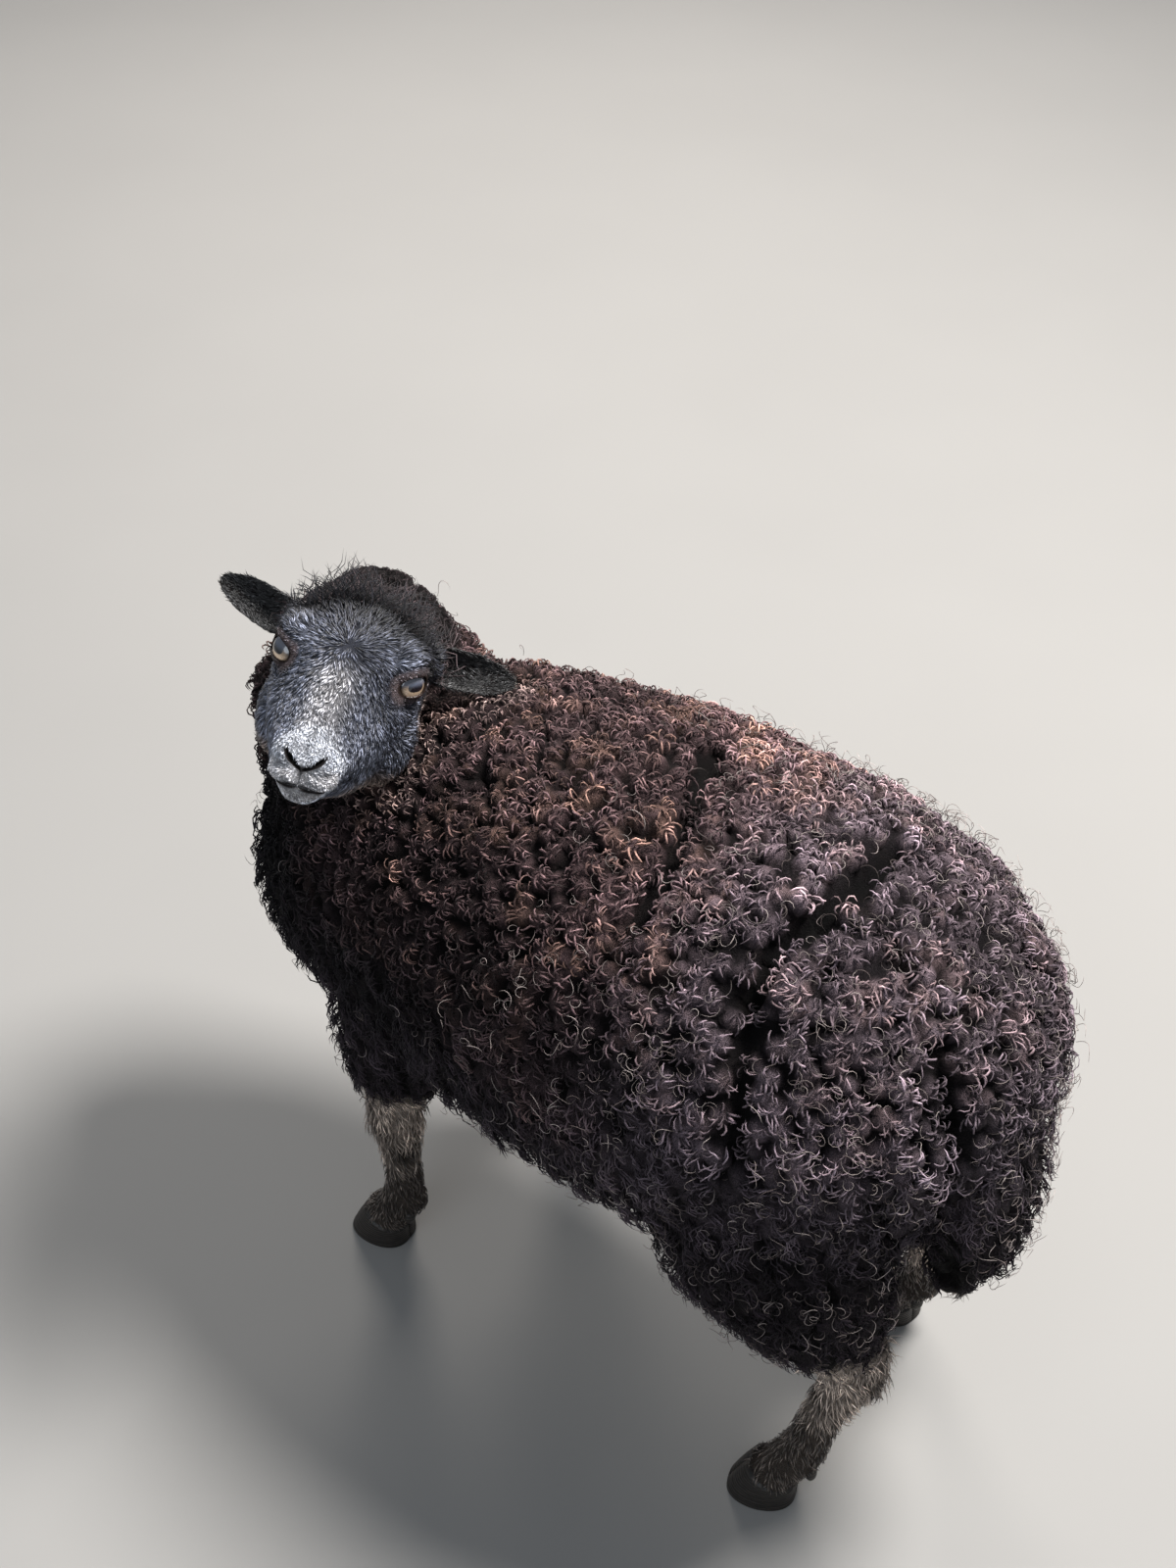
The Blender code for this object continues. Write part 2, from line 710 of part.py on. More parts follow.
def clump(at, normal, lie, size, scale, rng, group):
    """One rounded clump, its lower end standing out a little."""
    along = (lie - normal * lie.dot(normal)).normalized()
    tilt = rng.uniform(*CLUMP_TILT)
    along = (along + normal * tilt).normalized()
    across = normal.cross(along).normalized()
    turn = Matrix((across, along, across.cross(along))).transposed()
    vary = scale * rng.uniform(*CLUMP_VARIES)
    radii = (size[2] * vary, size[1] * vary * rng.uniform(0.9, 1.1), size[3] * vary)
    ball("clump", at - normal * size[4] * scale, radii, turn, group, CLUMP_AROUND, CLUMP_UP)


def body_share(at, normal):
    """Scale of the clumps: full on the body, small on limbs, tail and neck end."""
    if at.z < FLEECE_END_Z:
        return 0.0
    if at.z < LIMB_TOP_Z and abs(at.x) > LIMB_FROM_X:
        return LIMB_SCALE
    if at.y > TAIL_FROM_Y and abs(at.x) < TAIL_HALF and at.z < TAIL_TOP_Z:
        return TAIL_SCALE
    if (at - HEAD_AT).length < HEAD_REACH:
        return NEAR_HEAD_SCALE
    return 1.0


def body_lie(at, normal):
    """The fleece runs back along the top and down the sides."""
    return Vector((normal.x * 0.2, 0.45, -0.9 + 0.5 * max(normal.z, 0.0)))


def poll_share(at, normal):
    """Wool grows on the crown behind the brow, between the ears."""
    back = at.y > CROWN_BACK_Y
    top = at.z > CROWN_UP_Z and abs(at.x) < CROWN_HALF
    return 1.0 if back and top and normal.z > -0.2 else 0.0


def poll_lie(at, normal):
    """Crown wool falls towards the brow."""
    return Vector((at.x * 4.0, -1.0, 0.2))


def leg_rows(rows, side, back):
    """Rows of one leg from the rows of the left one."""
    return [(x * side, y + back, z, w, f, b) for x, y, z, w, f, b in rows]


def woolly_core(group, home):
    """Torso, neck, tail and upper legs as one smooth body inside the fleece."""
    up = Vector((0.0, 0.0, 1.0))
    front = Vector((0.0, -1.0, 0.0))
    rear = Vector((0.0, 1.0, 0.0))
    core = tube("core", TORSO, up, TORSO_SIDES, TORSO_STEPS, home, COAT)
    tube("neck_core", NECK, up, NECK_SIDES, NECK_STEPS, group, COAT)
    tube("tail_core", TAIL, rear, TAIL_SIDES, TAIL_STEPS, group, LIMB_COAT)
    for name, side, back, _ in LEGS:
        rows = HIND_UPPER if "hind" in name else FRONT_UPPER
        tube("thigh_core", leg_rows(rows, side, back), front, LEG_SIDES, LEG_STEPS, group,
             LIMB_COAT, True)
    fuse(core, group)
    skin = core.modifiers.new("skin", "REMESH")
    skin.mode = "VOXEL"
    skin.voxel_size = CORE_VOXEL
    settle(core)
    soft = core.modifiers.new("soft", "SMOOTH")
    soft.factor = 0.5
    soft.iterations = CORE_SMOOTHING
    settle(core)
    return thin_out(core, CORE_TRIANGLES)


def foot_frame(rows, yaw):
    """Frame of one foot on the floor: toe along minus Y."""
    x, y = rows[-1][0], rows[-1][1]
    return Matrix.Translation((x, y, 0.0)) @ Matrix.Rotation(math.radians(yaw), 4, "Z")


def claw_ring(length, width, forward, side, height):
    """Outline of one claw: straight along the cleft, round outside, pointed at the toe."""
    ring = []
    for k in range(CLAW_INSIDE_POINTS):
        t = k / (CLAW_INSIDE_POINTS - 1)
        ring.append((CLEFT * 0.5, forward + length * (0.5 - t)))
    for k in range(CLAW_OUTSIDE_POINTS):
        a = math.pi * (k + 1) / (CLAW_OUTSIDE_POINTS + 1)
        bulge = math.sin(a) ** CLAW_ROUNDNESS
        ring.append((CLEFT * 0.5 + width * bulge, forward - length * 0.5 * math.cos(a)))
    return [Vector((x * side, -y, height(y))) for x, y in ring]


def coronet_height(y):
    """Height of the hoof's upper edge, higher at the toe."""
    share = (y - CLAW_FORWARD) / CORONET_LENGTH + 0.5
    return CORONET_HEEL_Z + (CORONET_TOE_Z - CORONET_HEEL_Z) * share


def claw(name, frame, side, home):
    """One claw with a flat sole."""
    lower = CLAW_FORWARD + CLAW_LEAN
    sole = claw_ring(CLAW_LENGTH, CLAW_WIDTH, lower, side, lambda y: 0.0)
    wall = claw_ring(CLAW_LENGTH, CLAW_WIDTH, lower - 0.001, side, lambda y: WALL_FOOT_Z)
    top = claw_ring(CORONET_LENGTH, CORONET_WIDTH, CLAW_FORWARD, side,
                    lambda y: coronet_height(y) - GAP)
    rings = [[frame @ p for p in ring] for ring in (sole, wall, top)]
    return loft(name, rings, home)


def pastern_end(frame):
    """Oval that covers both coronets, in the plane of the hoof's upper edge."""
    ring = []
    for k in range(BONE_SIDES):
        a = 2.0 * math.pi * k / BONE_SIDES
        x = math.cos(a) * (CORONET_WIDTH + PASTERN_OVER)
        y = CLAW_FORWARD + math.sin(a) * (CORONET_LENGTH * 0.5 + PASTERN_OVER)
        ring.append(frame @ Vector((x, -y, coronet_height(y))))
    return ring


def lower_leg(name, rows, yaw, home, group):
    """Shank, fetlock and pastern down to the coronet, with two dewclaws."""
    path = spline(rows, BONE_STEPS)
    foot = foot_frame(rows, yaw)
    spin = Matrix.Rotation(math.radians(yaw), 3, "Z")
    rings = []
    for row in path:
        turned = spin if row[2] < KNEE_CUT * 0.5 else Matrix.Identity(3)
        ring = []
        for k in range(BONE_SIDES):
            a = 2.0 * math.pi * k / BONE_SIDES
            reach = row[4] if math.sin(a) > 0.0 else row[5]
            out = turned @ Vector((math.cos(a) * row[3], -math.sin(a) * reach, 0.0))
            ring.append(Vector(row[:3]) + out)
        rings.append(ring)
    rings.append(pastern_end(foot))
    shank = loft(name, rings, home)
    fetlock = Vector(rows[-2][:3])
    out, sunk, down = DEWCLAW_AT
    for side in (1.0, -1.0):
        at = fetlock + spin @ Vector((out * side, rows[-2][5] + sunk, down))
        ball("dewclaw", at, DEWCLAW, spin, group, 8, 6)
    return fuse(shank, group)


def paint(obj, look, home):
    """Give a finished node its material and home."""
    colour, rough = look
    made = bpy.data.materials.new(obj.name)
    made.use_nodes = True
    shader = made.node_tree.nodes["Principled BSDF"]
    shader.inputs["Base Color"].default_value = (*colour, 1.0)
    shader.inputs["Roughness"].default_value = rough
    shader.inputs["Metallic"].default_value = 0.0
    obj.data.materials.clear()
    obj.data.materials.append(made)
    for polygon in obj.data.polygons:
        polygon.use_smooth = True
        polygon.material_index = 0
    for old in list(obj.users_collection):
        old.objects.unlink(obj)
    home.objects.link(obj)
    obj.location = SHIFT


def place_head(obj):
    """Move a mesh from the head's frame to its place."""
    obj.data.transform(head_matrix())
    return obj


def build_head(work, group):
    """Head, ears and eyes, placed."""
    head = head_body(group, work)
    poll_wool(head, group)
    ears = []
    for side, name in ((1.0, "ear_left"), (-1.0, "ear_right")):
        ear = ear_body(side, work)
        ear.name = name
        carve(ear, head, work)
        ears.append(ear)
    shape = thin_out(copy_of(head, "head_shape", work), SHAPE_TRIANGLES)
    for side in (1.0, -1.0):
        open_eye(head, side, group)
        open_nose(head, side, group)
    groove(head, both_sides(MOUTH_LINE), MOUTH_WIDTH, MOUTH_DEPTH, group)
    groove(head, [local(*p) for p in PHILTRUM], MOUTH_WIDTH * 0.8, MOUTH_DEPTH * 0.8, group)
    keep_largest(head)
    eyes = []
    for side, name in ((1.0, "eye_left"), (-1.0, "eye_right")):
        at = local(EYE_AT[0] * side, EYE_AT[1], EYE_AT[2])
        eyes.append(ball(name, at, (EYE_RADIUS,) * 3, eye_turn(side), work, 16, 10))
    for obj in [head, shape] + ears + eyes:
        place_head(obj)
    return head, shape, ears, eyes


def build():
    """Make every node of the sheep."""
    for old in list(bpy.data.objects):
        bpy.data.objects.remove(old)
    sheep = collection("ouessant_sheep", False)
    work = collection("work", True)
    group = collection("pieces", True)

    head, shape, ears, eyes = build_head(work, group)
    fleece = woolly_core(group, work)
    cover(fleece, group, random.Random(BODY_SEED), BODY_CLUMP, body_share, body_lie)
    thin_out(fleece, FLEECE_TRIANGLES)
    carve(fleece, shape, work, HEAD_CLEARANCE)
    for ear in ears:
        carve(fleece, ear, work)
    bpy.data.objects.remove(shape)

    nodes = [(head, FACE)] + [(ear, SKIN) for ear in ears] + [(eye, AMBER) for eye in eyes]
    for name, side, back, yaw in LEGS:
        hind = "hind" in name
        rows = leg_rows(HIND_LOWER if hind else FRONT_LOWER, side, back)
        low_y, high_y = HIND_CUT_Y if hind else FRONT_CUT_Y
        low_x, high_x = sorted(side * x for x in LEG_CUT_X)
        top = HIND_CUT_TOP if hind else FRONT_CUT_TOP
        upper = part_off(fleece, name + "_upper", (low_x, low_y + back, KNEE_CUT),
                         (high_x, high_y + back, top), work)
        lower = lower_leg(name + "_lower", rows, yaw, work, group)
        nodes += [(upper, WOOL), (lower, SHANK)]
        foot = foot_frame(rows, yaw)
        for part, turn in (("outer", side), ("inner", -side)):
            hoof = claw(name.replace("leg", "hoof") + "_" + part, foot, turn, work)
            nodes.append((hoof, HORN))
    tail = part_off(fleece, "tail", TAIL_CUT[0], TAIL_CUT[1], work)
    tilt = Matrix.Rotation(math.radians(NECK_CUT_TILT), 4, "X")
    neck = part_off(fleece, "neck", *NECK_CUT, work, Matrix.Translation(NECK_CUT_AT) @ tilt)
    fleece.name = "torso"
    keep_largest(fleece)
    nodes += [(fleece, WOOL), (neck, WOOL), (tail, WOOL)]
    for obj, look in nodes:
        paint(obj, look, sheep)
    bpy.data.collections.remove(group)
    bpy.data.collections.remove(work)


build()
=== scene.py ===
"""Looks of a polled ouessant sheep that stands still with its head turned back. Metres, Z up.

Shapes are worked out in the sheep's own frame, facing minus Y with its left side plus X, and
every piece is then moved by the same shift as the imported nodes.
"""
import math

import bmesh
import bpy
import numpy as np
from mathutils import Matrix, Vector
from mathutils.bvhtree import BVHTree
from mathutils.kdtree import KDTree


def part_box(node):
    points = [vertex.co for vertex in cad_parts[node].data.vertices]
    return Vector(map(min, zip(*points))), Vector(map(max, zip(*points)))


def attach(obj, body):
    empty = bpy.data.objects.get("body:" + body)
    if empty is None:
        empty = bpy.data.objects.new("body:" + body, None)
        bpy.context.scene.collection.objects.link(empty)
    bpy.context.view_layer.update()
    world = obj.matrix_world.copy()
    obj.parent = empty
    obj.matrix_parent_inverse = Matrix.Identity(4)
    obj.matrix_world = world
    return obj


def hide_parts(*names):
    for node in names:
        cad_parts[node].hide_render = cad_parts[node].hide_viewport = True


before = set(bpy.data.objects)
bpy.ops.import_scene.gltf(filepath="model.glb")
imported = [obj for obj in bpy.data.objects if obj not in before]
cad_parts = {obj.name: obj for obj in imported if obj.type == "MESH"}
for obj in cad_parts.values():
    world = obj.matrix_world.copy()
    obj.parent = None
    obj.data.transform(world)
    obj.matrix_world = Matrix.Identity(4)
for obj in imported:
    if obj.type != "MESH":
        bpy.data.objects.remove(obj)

# Torso stations out to the tips of the fleece
# each row: x, y, z, half width, height above, depth below
TORSO = (
    (0.0, -0.290, 0.288, 0.036, 0.040, 0.036),
    (0.0, -0.270, 0.288, 0.080, 0.086, 0.080),
    (0.0, -0.222, 0.292, 0.109, 0.114, 0.108),
    (0.0, -0.150, 0.302, 0.128, 0.140, 0.124),
    (0.0, -0.060, 0.306, 0.146, 0.150, 0.138),
    (0.0, 0.030, 0.310, 0.152, 0.148, 0.136),
    (0.0, 0.090, 0.312, 0.148, 0.144, 0.124),
    (0.0, 0.140, 0.308, 0.134, 0.130, 0.116),
    (0.0, 0.180, 0.300, 0.105, 0.106, 0.104),
    (0.0, 0.203, 0.292, 0.066, 0.068, 0.078),
    (0.0, 0.212, 0.288, 0.024, 0.026, 0.030),
)

# Neck stations, from inside the shoulders up and round to the left, same row layout
NECK = (
    (0.000, -0.120, 0.312, 0.100, 0.108, 0.100),
    (0.000, -0.175, 0.328, 0.096, 0.090, 0.102),
    (-0.006, -0.228, 0.350, 0.089, 0.080, 0.102),
    (-0.017, -0.250, 0.386, 0.078, 0.068, 0.092),
    (-0.008, -0.251, 0.420, 0.065, 0.057, 0.072),
    (0.018, -0.232, 0.440, 0.052, 0.049, 0.054),
)

# Tail stations from the croup down, row: x, y, z, half width, back, front
TAIL = (
    (0.000, 0.165, 0.350, 0.036, 0.030, 0.030),
    (0.000, 0.188, 0.325, 0.042, 0.034, 0.030),
    (0.000, 0.204, 0.285, 0.042, 0.032, 0.030),
    (0.000, 0.206, 0.240, 0.038, 0.028, 0.028),
    (0.000, 0.202, 0.200, 0.030, 0.022, 0.022),
    (0.000, 0.198, 0.172, 0.016, 0.012, 0.012),
)

# Woolly upper legs, row: x, y, z, half width, front, back
HIND_UPPER = (
    (0.076, 0.105, 0.300, 0.058, 0.070, 0.082),
    (0.080, 0.115, 0.240, 0.056, 0.076, 0.082),
    (0.078, 0.132, 0.198, 0.047, 0.068, 0.064),
    (0.071, 0.150, 0.165, 0.037, 0.050, 0.043),
    (0.061, 0.166, 0.138, 0.026, 0.031, 0.028),
    (0.058, 0.170, 0.120, 0.020, 0.022, 0.020),
)
FRONT_UPPER = (
    (0.070, -0.155, 0.270, 0.046, 0.050, 0.058),
    (0.073, -0.160, 0.210, 0.040, 0.040, 0.046),
    (0.075, -0.166, 0.170, 0.031, 0.032, 0.035),
    (0.076, -0.169, 0.142, 0.022, 0.023, 0.024),
    (0.076, -0.170, 0.122, 0.018, 0.019, 0.019),
)

# Short haired lower legs down to the coronet, same row layout
HIND_LOWER = (
    (0.0600, 0.1680, 0.1560, 0.0180, 0.0210, 0.0225),
    (0.0600, 0.1680, 0.1380, 0.0170, 0.0200, 0.0215),
    (0.0590, 0.1700, 0.1250, 0.0150, 0.0185, 0.0210),
    (0.0625, 0.1665, 0.1080, 0.0120, 0.0140, 0.0150),
    (0.0680, 0.1600, 0.0850, 0.0108, 0.0120, 0.0125),
    (0.0735, 0.1540, 0.0600, 0.0118, 0.0125, 0.0135),
    (0.0770, 0.1490, 0.0430, 0.0150, 0.0145, 0.0165),
    (0.0800, 0.1425, 0.0310, 0.0155, 0.0140, 0.0150),
)
FRONT_LOWER = (
    (0.0760, -0.1690, 0.1560, 0.0170, 0.0180, 0.0175),
    (0.0760, -0.1690, 0.1380, 0.0165, 0.0175, 0.0170),
    (0.0760, -0.1700, 0.1240, 0.0170, 0.0180, 0.0160),
    (0.0758, -0.1685, 0.1060, 0.0130, 0.0135, 0.0130),
    (0.0755, -0.1680, 0.0820, 0.0112, 0.0115, 0.0115),
    (0.0755, -0.1685, 0.0580, 0.0120, 0.0120, 0.0130),
    (0.0755, -0.1710, 0.0430, 0.0150, 0.0145, 0.0165),
    (0.0755, -0.1770, 0.0310, 0.0155, 0.0140, 0.0150),
)

# Legs: name, side, how far back it stands, turn of the foot in degrees, upper and lower rows
LEGS = (
    ("hind_left", 1.0, 0.000, 22.0, HIND_UPPER, HIND_LOWER),
    ("hind_right", -1.0, -0.012, -12.0, HIND_UPPER, HIND_LOWER),
    ("front_left", 1.0, 0.000, 8.0, FRONT_UPPER, FRONT_LOWER),
    ("front_right", -1.0, 0.022, -8.0, FRONT_UPPER, FRONT_LOWER),
)
LEG_SIDES = 28
FOOT_TURNS = (0.075, 0.050)
SHANK_OVERLAP = 0.0005

# Cloven feet: heel to toe length, one claw's width, cleft and coronet
CLAW_LENGTH = 0.0430
CLAW_WIDTH = 0.0175
CLEFT = 0.0012
CORONET_LENGTH = 0.0300
CORONET_WIDTH = 0.0160
CORONET_TOE_Z = 0.0270
CORONET_HEEL_Z = 0.0150
CLAW_FORWARD = 0.0060
CLAW_LEAN = 0.0060
SOLE_EDGE = 0.0012
HOOF_RINGS = 16
CLAW_POINTS = 20
RIDGE_HEIGHT = 0.012
RIDGE_TURNS = 34.0
DEWCLAW = (0.0045, 0.0036, 0.0066)
DEWCLAW_AT = (0.0075, -0.0055, -0.0065)
DEWCLAW_MESH = (20, 14)

# Head pose: the point between the eyes, then turn, lift and tilt in degrees
HEAD_AT = Vector((0.072, -0.184, 0.480))
HEAD_SCALE = 0.96
HEAD_TURN = 123.2
HEAD_LIFT = -22.0
HEAD_TILT = 13.7

# Head stations in its own frame, nose along minus Y, point between the eyes at 0
# each row: forward, top, bottom, half width at the top, at the middle, at the bottom
HEAD = (
    (-0.064, 0.012, -0.052, 0.020, 0.030, 0.022),
    (-0.056, 0.022, -0.062, 0.028, 0.040, 0.030),
    (-0.042, 0.029, -0.070, 0.033, 0.044, 0.035),
    (-0.024, 0.030, -0.074, 0.035, 0.044, 0.037),
    (-0.006, 0.026, -0.074, 0.033, 0.041, 0.035),
    (0.012, 0.019, -0.071, 0.028, 0.037, 0.031),
    (0.030, 0.010, -0.067, 0.022, 0.033, 0.027),
    (0.048, 0.000, -0.062, 0.017, 0.0275, 0.022),
    (0.064, -0.009, -0.057, 0.0140, 0.0224, 0.0180),
    (0.078, -0.017, -0.054, 0.0128, 0.0194, 0.0150),
    (0.088, -0.023, -0.051, 0.0108, 0.0164, 0.0124),
    (0.095, -0.029, -0.046, 0.0062, 0.0100, 0.0070),
)

# Lumps of the head: side, forward, up, then radii across, along and up
ORBIT = (0.0325, -0.0100, 0.0060, 0.0135, 0.0190, 0.0150)
CHEEK = (0.0280, -0.0220, -0.0400, 0.0190, 0.0330, 0.0300)
NOSE_WING = (0.0082, 0.0840, -0.0290, 0.0098, 0.0120, 0.0092)
UPPER_LIP = (0.0087, 0.0830, -0.0385, 0.0103, 0.0138, 0.0078)
CHIN = (0.0, 0.0760, -0.0490, 0.0120, 0.0136, 0.0078)
EAR_ROOT = (0.0370, -0.0450, 0.0030, 0.0120, 0.0120, 0.0120)

# Eyes: centre, ball radius, lid thickness, opening and direction of gaze
EYE_AT = (0.0325, -0.0070, 0.0000)
EYE_RADIUS = 0.0125
LID_THICKNESS = 0.0018
LID_SOFT = (EYE_RADIUS + 0.0075, EYE_RADIUS + 0.0015)
LID_ROUNDS = 14
SOCKET_GAP = 0.0004
LID_MESH = (48, 32)
EYE_MESH = (96, 64)
EYE_OPENING = (0.0112, 0.0064)
EYE_CORNER = 0.8
EYE_OUT = 45.0
EYE_UP = 4.0
EYE_SLANT = 10.0
FOLD_AT = 1.85
FOLD_SOFT = 0.20
FOLD_DEPTH = 0.0014
SLIT = ((0.004, 0.55), (0.0125, 1.00), (0.0250, 1.50))

# Nostrils and the grooves of mouth and upper lip, as points side, forward, up
NOSTRIL_AT = (0.0063, 0.0945, -0.0285)
NOSTRIL_SIZE = (0.0074, 0.0070, 0.0014)
NOSTRIL_SLANT = 42.0
NOSTRIL_OUT = 28.0
MOUTH_LINE = (
    (0.0235, 0.0500, -0.0460),
    (0.0215, 0.0640, -0.0465),
    (0.0180, 0.0790, -0.0455),
    (0.0105, 0.0920, -0.0442),
    (0.0000, 0.0970, -0.0428),
)
MOUTH_WIDTH = 0.0011
MOUTH_DEPTH = 0.0028
GROOVE_ABOVE = 0.003
PHILTRUM = ((0.0, 0.0960, -0.0325), (0.0, 0.0975, -0.0370), (0.0, 0.0975, -0.0415))

# Ears: root, direction and size in the head's frame
EAR_AT = (0.0400, -0.0450, 0.0030)
EAR_OUT = 74.0
EAR_RISE = {1.0: -2.0, -1.0: 11.0}
EAR_ROLL = {1.0: -30.0, -1.0: -15.0}
EAR_LENGTH = 0.067
EAR_ROOT_DEPTH = 0.010
EAR_THICKNESS = 0.0022
EAR_ACROSS = 21
EAR_ROOT_SOFT = (0.019, 0.013)
# each row: share of the length, half width, half angle of the cup in degrees
EAR = (
    (0.00, 0.0092, 150.0),
    (0.14, 0.0102, 125.0),
    (0.32, 0.0118, 96.0),
    (0.52, 0.0122, 80.0),
    (0.72, 0.0106, 66.0),
    (0.88, 0.0070, 52.0),
    (0.98, 0.0028, 40.0),
)

# Skin: how deep it lies below the tips of the fleece, and how fine its mesh is
FLEECE_DEPTH = 0.014
LIMB_DEPTH = 0.009
BODY_VOXEL = 0.0028
HEAD_VOXEL = 0.0011
LEG_VOXEL = 0.0017
BODY_ROUNDS = 5
HEAD_ROUNDS = 18
LEG_ROUNDS = 3
WOOL_END_Z = 0.174
EAR_STARTS = 0.048
HEAD_REACH = 0.16
TOUCHING = 0.0006

# Partings of the fleece: how open each is, and its line near the skin
CREASES = (
    (1.0, ((-0.030, 0.113, 0.431), (0.006, 0.112, 0.436), (0.040, 0.106, 0.430),
           (0.063, 0.100, 0.420), (0.086, 0.102, 0.404))),
    (0.6, ((0.086, 0.102, 0.404), (0.105, 0.112, 0.380), (0.118, 0.120, 0.340))),
    (0.5, ((0.044, 0.188, 0.390), (0.051, 0.200, 0.350), (0.052, 0.205, 0.300),
           (0.044, 0.206, 0.220), (0.040, 0.200, 0.180))),
    (0.5, ((-0.044, 0.188, 0.390), (-0.051, 0.200, 0.350), (-0.052, 0.205, 0.300),
           (-0.044, 0.206, 0.220), (-0.040, 0.200, 0.180))),
    (0.5, ((0.036, 0.023, 0.439), (-0.002, 0.003, 0.444), (-0.040, -0.009, 0.438))),
    (0.5, ((0.044, 0.022, 0.437), (0.091, 0.026, 0.410))),
)
PARTINGS = []
CREASE_HALF = 0.0126
CREASE_DEPTH = 0.0115
CREASE_BARE = 0.32
PARTING_SIZE = 0.026
PARTING_WIDTH = 0.040
PARTING_DEPTH = 0.0045
PARTING_SHARE = 0.60

# Broad swells of the fleece, and the place behind the head where it lies close
SWELL_SIZE = 0.019
SWELL_RISE = 0.0045
TUCK_DEPTH = 0.0060

# Wool: how close the locks stand, the clump under each and the strands in it
WOOL_CANDIDATES = 40000
LOCK_GAP = 0.0093
UNDER_GAP = 0.30
CLUMP_REACH = 0.78
CLUMP_LONG = 2.1
CLUMP_RISE = 0.0066
STRANDS = 10
PUFF_REACH = 0.42
STEP_AT = (0.0, 0.22, 0.42, 0.62, 0.81, 1.0)
ROOT_SINK = 0.0012
CURL_LENGTH = 0.0120
HANG_LENGTH = 0.0205
CURLS = (3.0, 5.4)
WOOL_WIDTH = 0.00125
HANG_WIDTH = 0.00095
TAPER_AT = (0.0, 0.25, 0.75, 1.0)
TAPER = (0.80, 1.0, 0.80, 0.15)
# Strands darker at the root: partly their own dark base, partly painted shade deep in the coat
ROOT_SHADE = 0.16
# Painted shade of the skin under the wool: FELT_SHADE on the clumps, GAP_SHADE between them
FELT_SHADE = 0.88
GAP_SHADE = 0.05
ROOT_FADE = (0.05, 0.50)
# Painted shade: skin under short hair darkened by this share
HIDE_SHADE = 0.62
FELT_SCALE = 150.0
FELT_DARK = 0.40
FELT_PALE = 1.35

# Crown between the ears, softer and straighter than the fleece, and nape behind them
CROWN_FRONT = -0.024
CROWN_LOW = 0.004
CROWN_SIDE = 0.036
NAPE_FRONT = -0.050
NAPE_HIGH = 0.012
CROWN_GAP = 0.0015
CROWN_MIDDLE = (0.0, -0.060, -0.005)
CROWN_REACH = (0.085, 0.125)
CROWN_LENGTH = 0.0270
CROWN_WIDTH = 0.00060
CROWN_HAIRS = 12000
CROWN_STEP_AT = (0.0, 0.28, 0.54, 0.78, 1.0)

# How near strands come to the head, and the paler edge of the wool beside it
CLEAR_REACH = 0.20
CLEAR_OUT = 0.0004
CLEAR_GAP = 0.0012
CLEAR_SEARCH = 0.020
PALE_EDGE = 0.022
PALE_REACH = 0.14

# Short hair, stray fibres and lashes: how many, how long and how wide
FACE_HAIRS = 19400
FACE_LENGTH = 0.0068
FACE_WIDTH = 0.00078
HAIR_SWIRL = 1.6
HAIR_SINK = 0.0002
HAIR_STEP_AT = (0.0, 0.5, 1.0)
EAR_HAIRS = 6500
EAR_INSIDE_LENGTH = 0.0046
EAR_OUTSIDE_LENGTH = 0.0028
LEG_HAIRS = 11000
LEG_LENGTH = 0.0080
LEG_HAIR_END = 0.022
WHORL = (0.0, 0.014, 0.018)
# Middle of the painted sheen above each eye
BROW_SHEEN_AT = (0.0290, 0.0020, 0.0190)
NOSE_TOP = (0.0, 0.0930, -0.0300)
GROOVE_EDGE = (0.0016, 0.0032)
STRAY_FIBRES = 2700
STRAY_STEPS = 9
STRAY_WIDTH = 0.00040
STRAY_LENGTH = (0.012, 0.022)
STRAY_SPIN = (2.5, 6.5)
LASHES = 45
LASH_LENGTH = (0.0035, 0.0060)
LASH_WIDTH = 0.00030

# Unwrap of the skin that every tuft is given a place on, and one tuft's patch of it
ATLAS_FACES = 6000
ATLAS_ANGLE = 66.0
ATLAS_MARGIN = 0.004
PATCH = 0.003
SEED = 7

# Colours, linear
FACE_BLACK = (0.024, 0.024, 0.031)
# Painted sheen, the sky's bluish reflection on the black hair: this colour and the next
FACE_BLUE_SHEEN = (0.060, 0.066, 0.090)
FACE_SHEEN = (0.165, 0.180, 0.235)
FROST = (0.430, 0.425, 0.450)
MUZZLE_GREY = (0.590, 0.620, 0.690)
LIP_PALE = (0.740, 0.730, 0.760)
JAW_BROWN = (0.330, 0.250, 0.215)
LID_BROWN = (0.105, 0.080, 0.084)
# Bare dark skin of the nose, also painted shade inside the nostrils and in the mouth's groove
NOSE_SKIN_AND_SHADE = (0.020, 0.017, 0.017)
RIM_BROWN = (0.030, 0.018, 0.014)
LASH_BLACK = (0.006, 0.005, 0.005)
CROWN_BLACK = (0.011, 0.011, 0.014)
CROWN_BROWN = (0.058, 0.042, 0.045)
EAR_OUTSIDE = (0.016, 0.013, 0.013)
EAR_INSIDE = (0.030, 0.030, 0.031)
EAR_RIM = (0.180, 0.165, 0.140)
# The lower fleece's own dark, also painted shade on the lower flanks
WOOL_DARK = (0.030, 0.023, 0.028)
WOOL_BROWN = (0.200, 0.124, 0.130)
WOOL_RED = (0.350, 0.205, 0.160)
WOOL_TAN = (0.330, 0.245, 0.220)
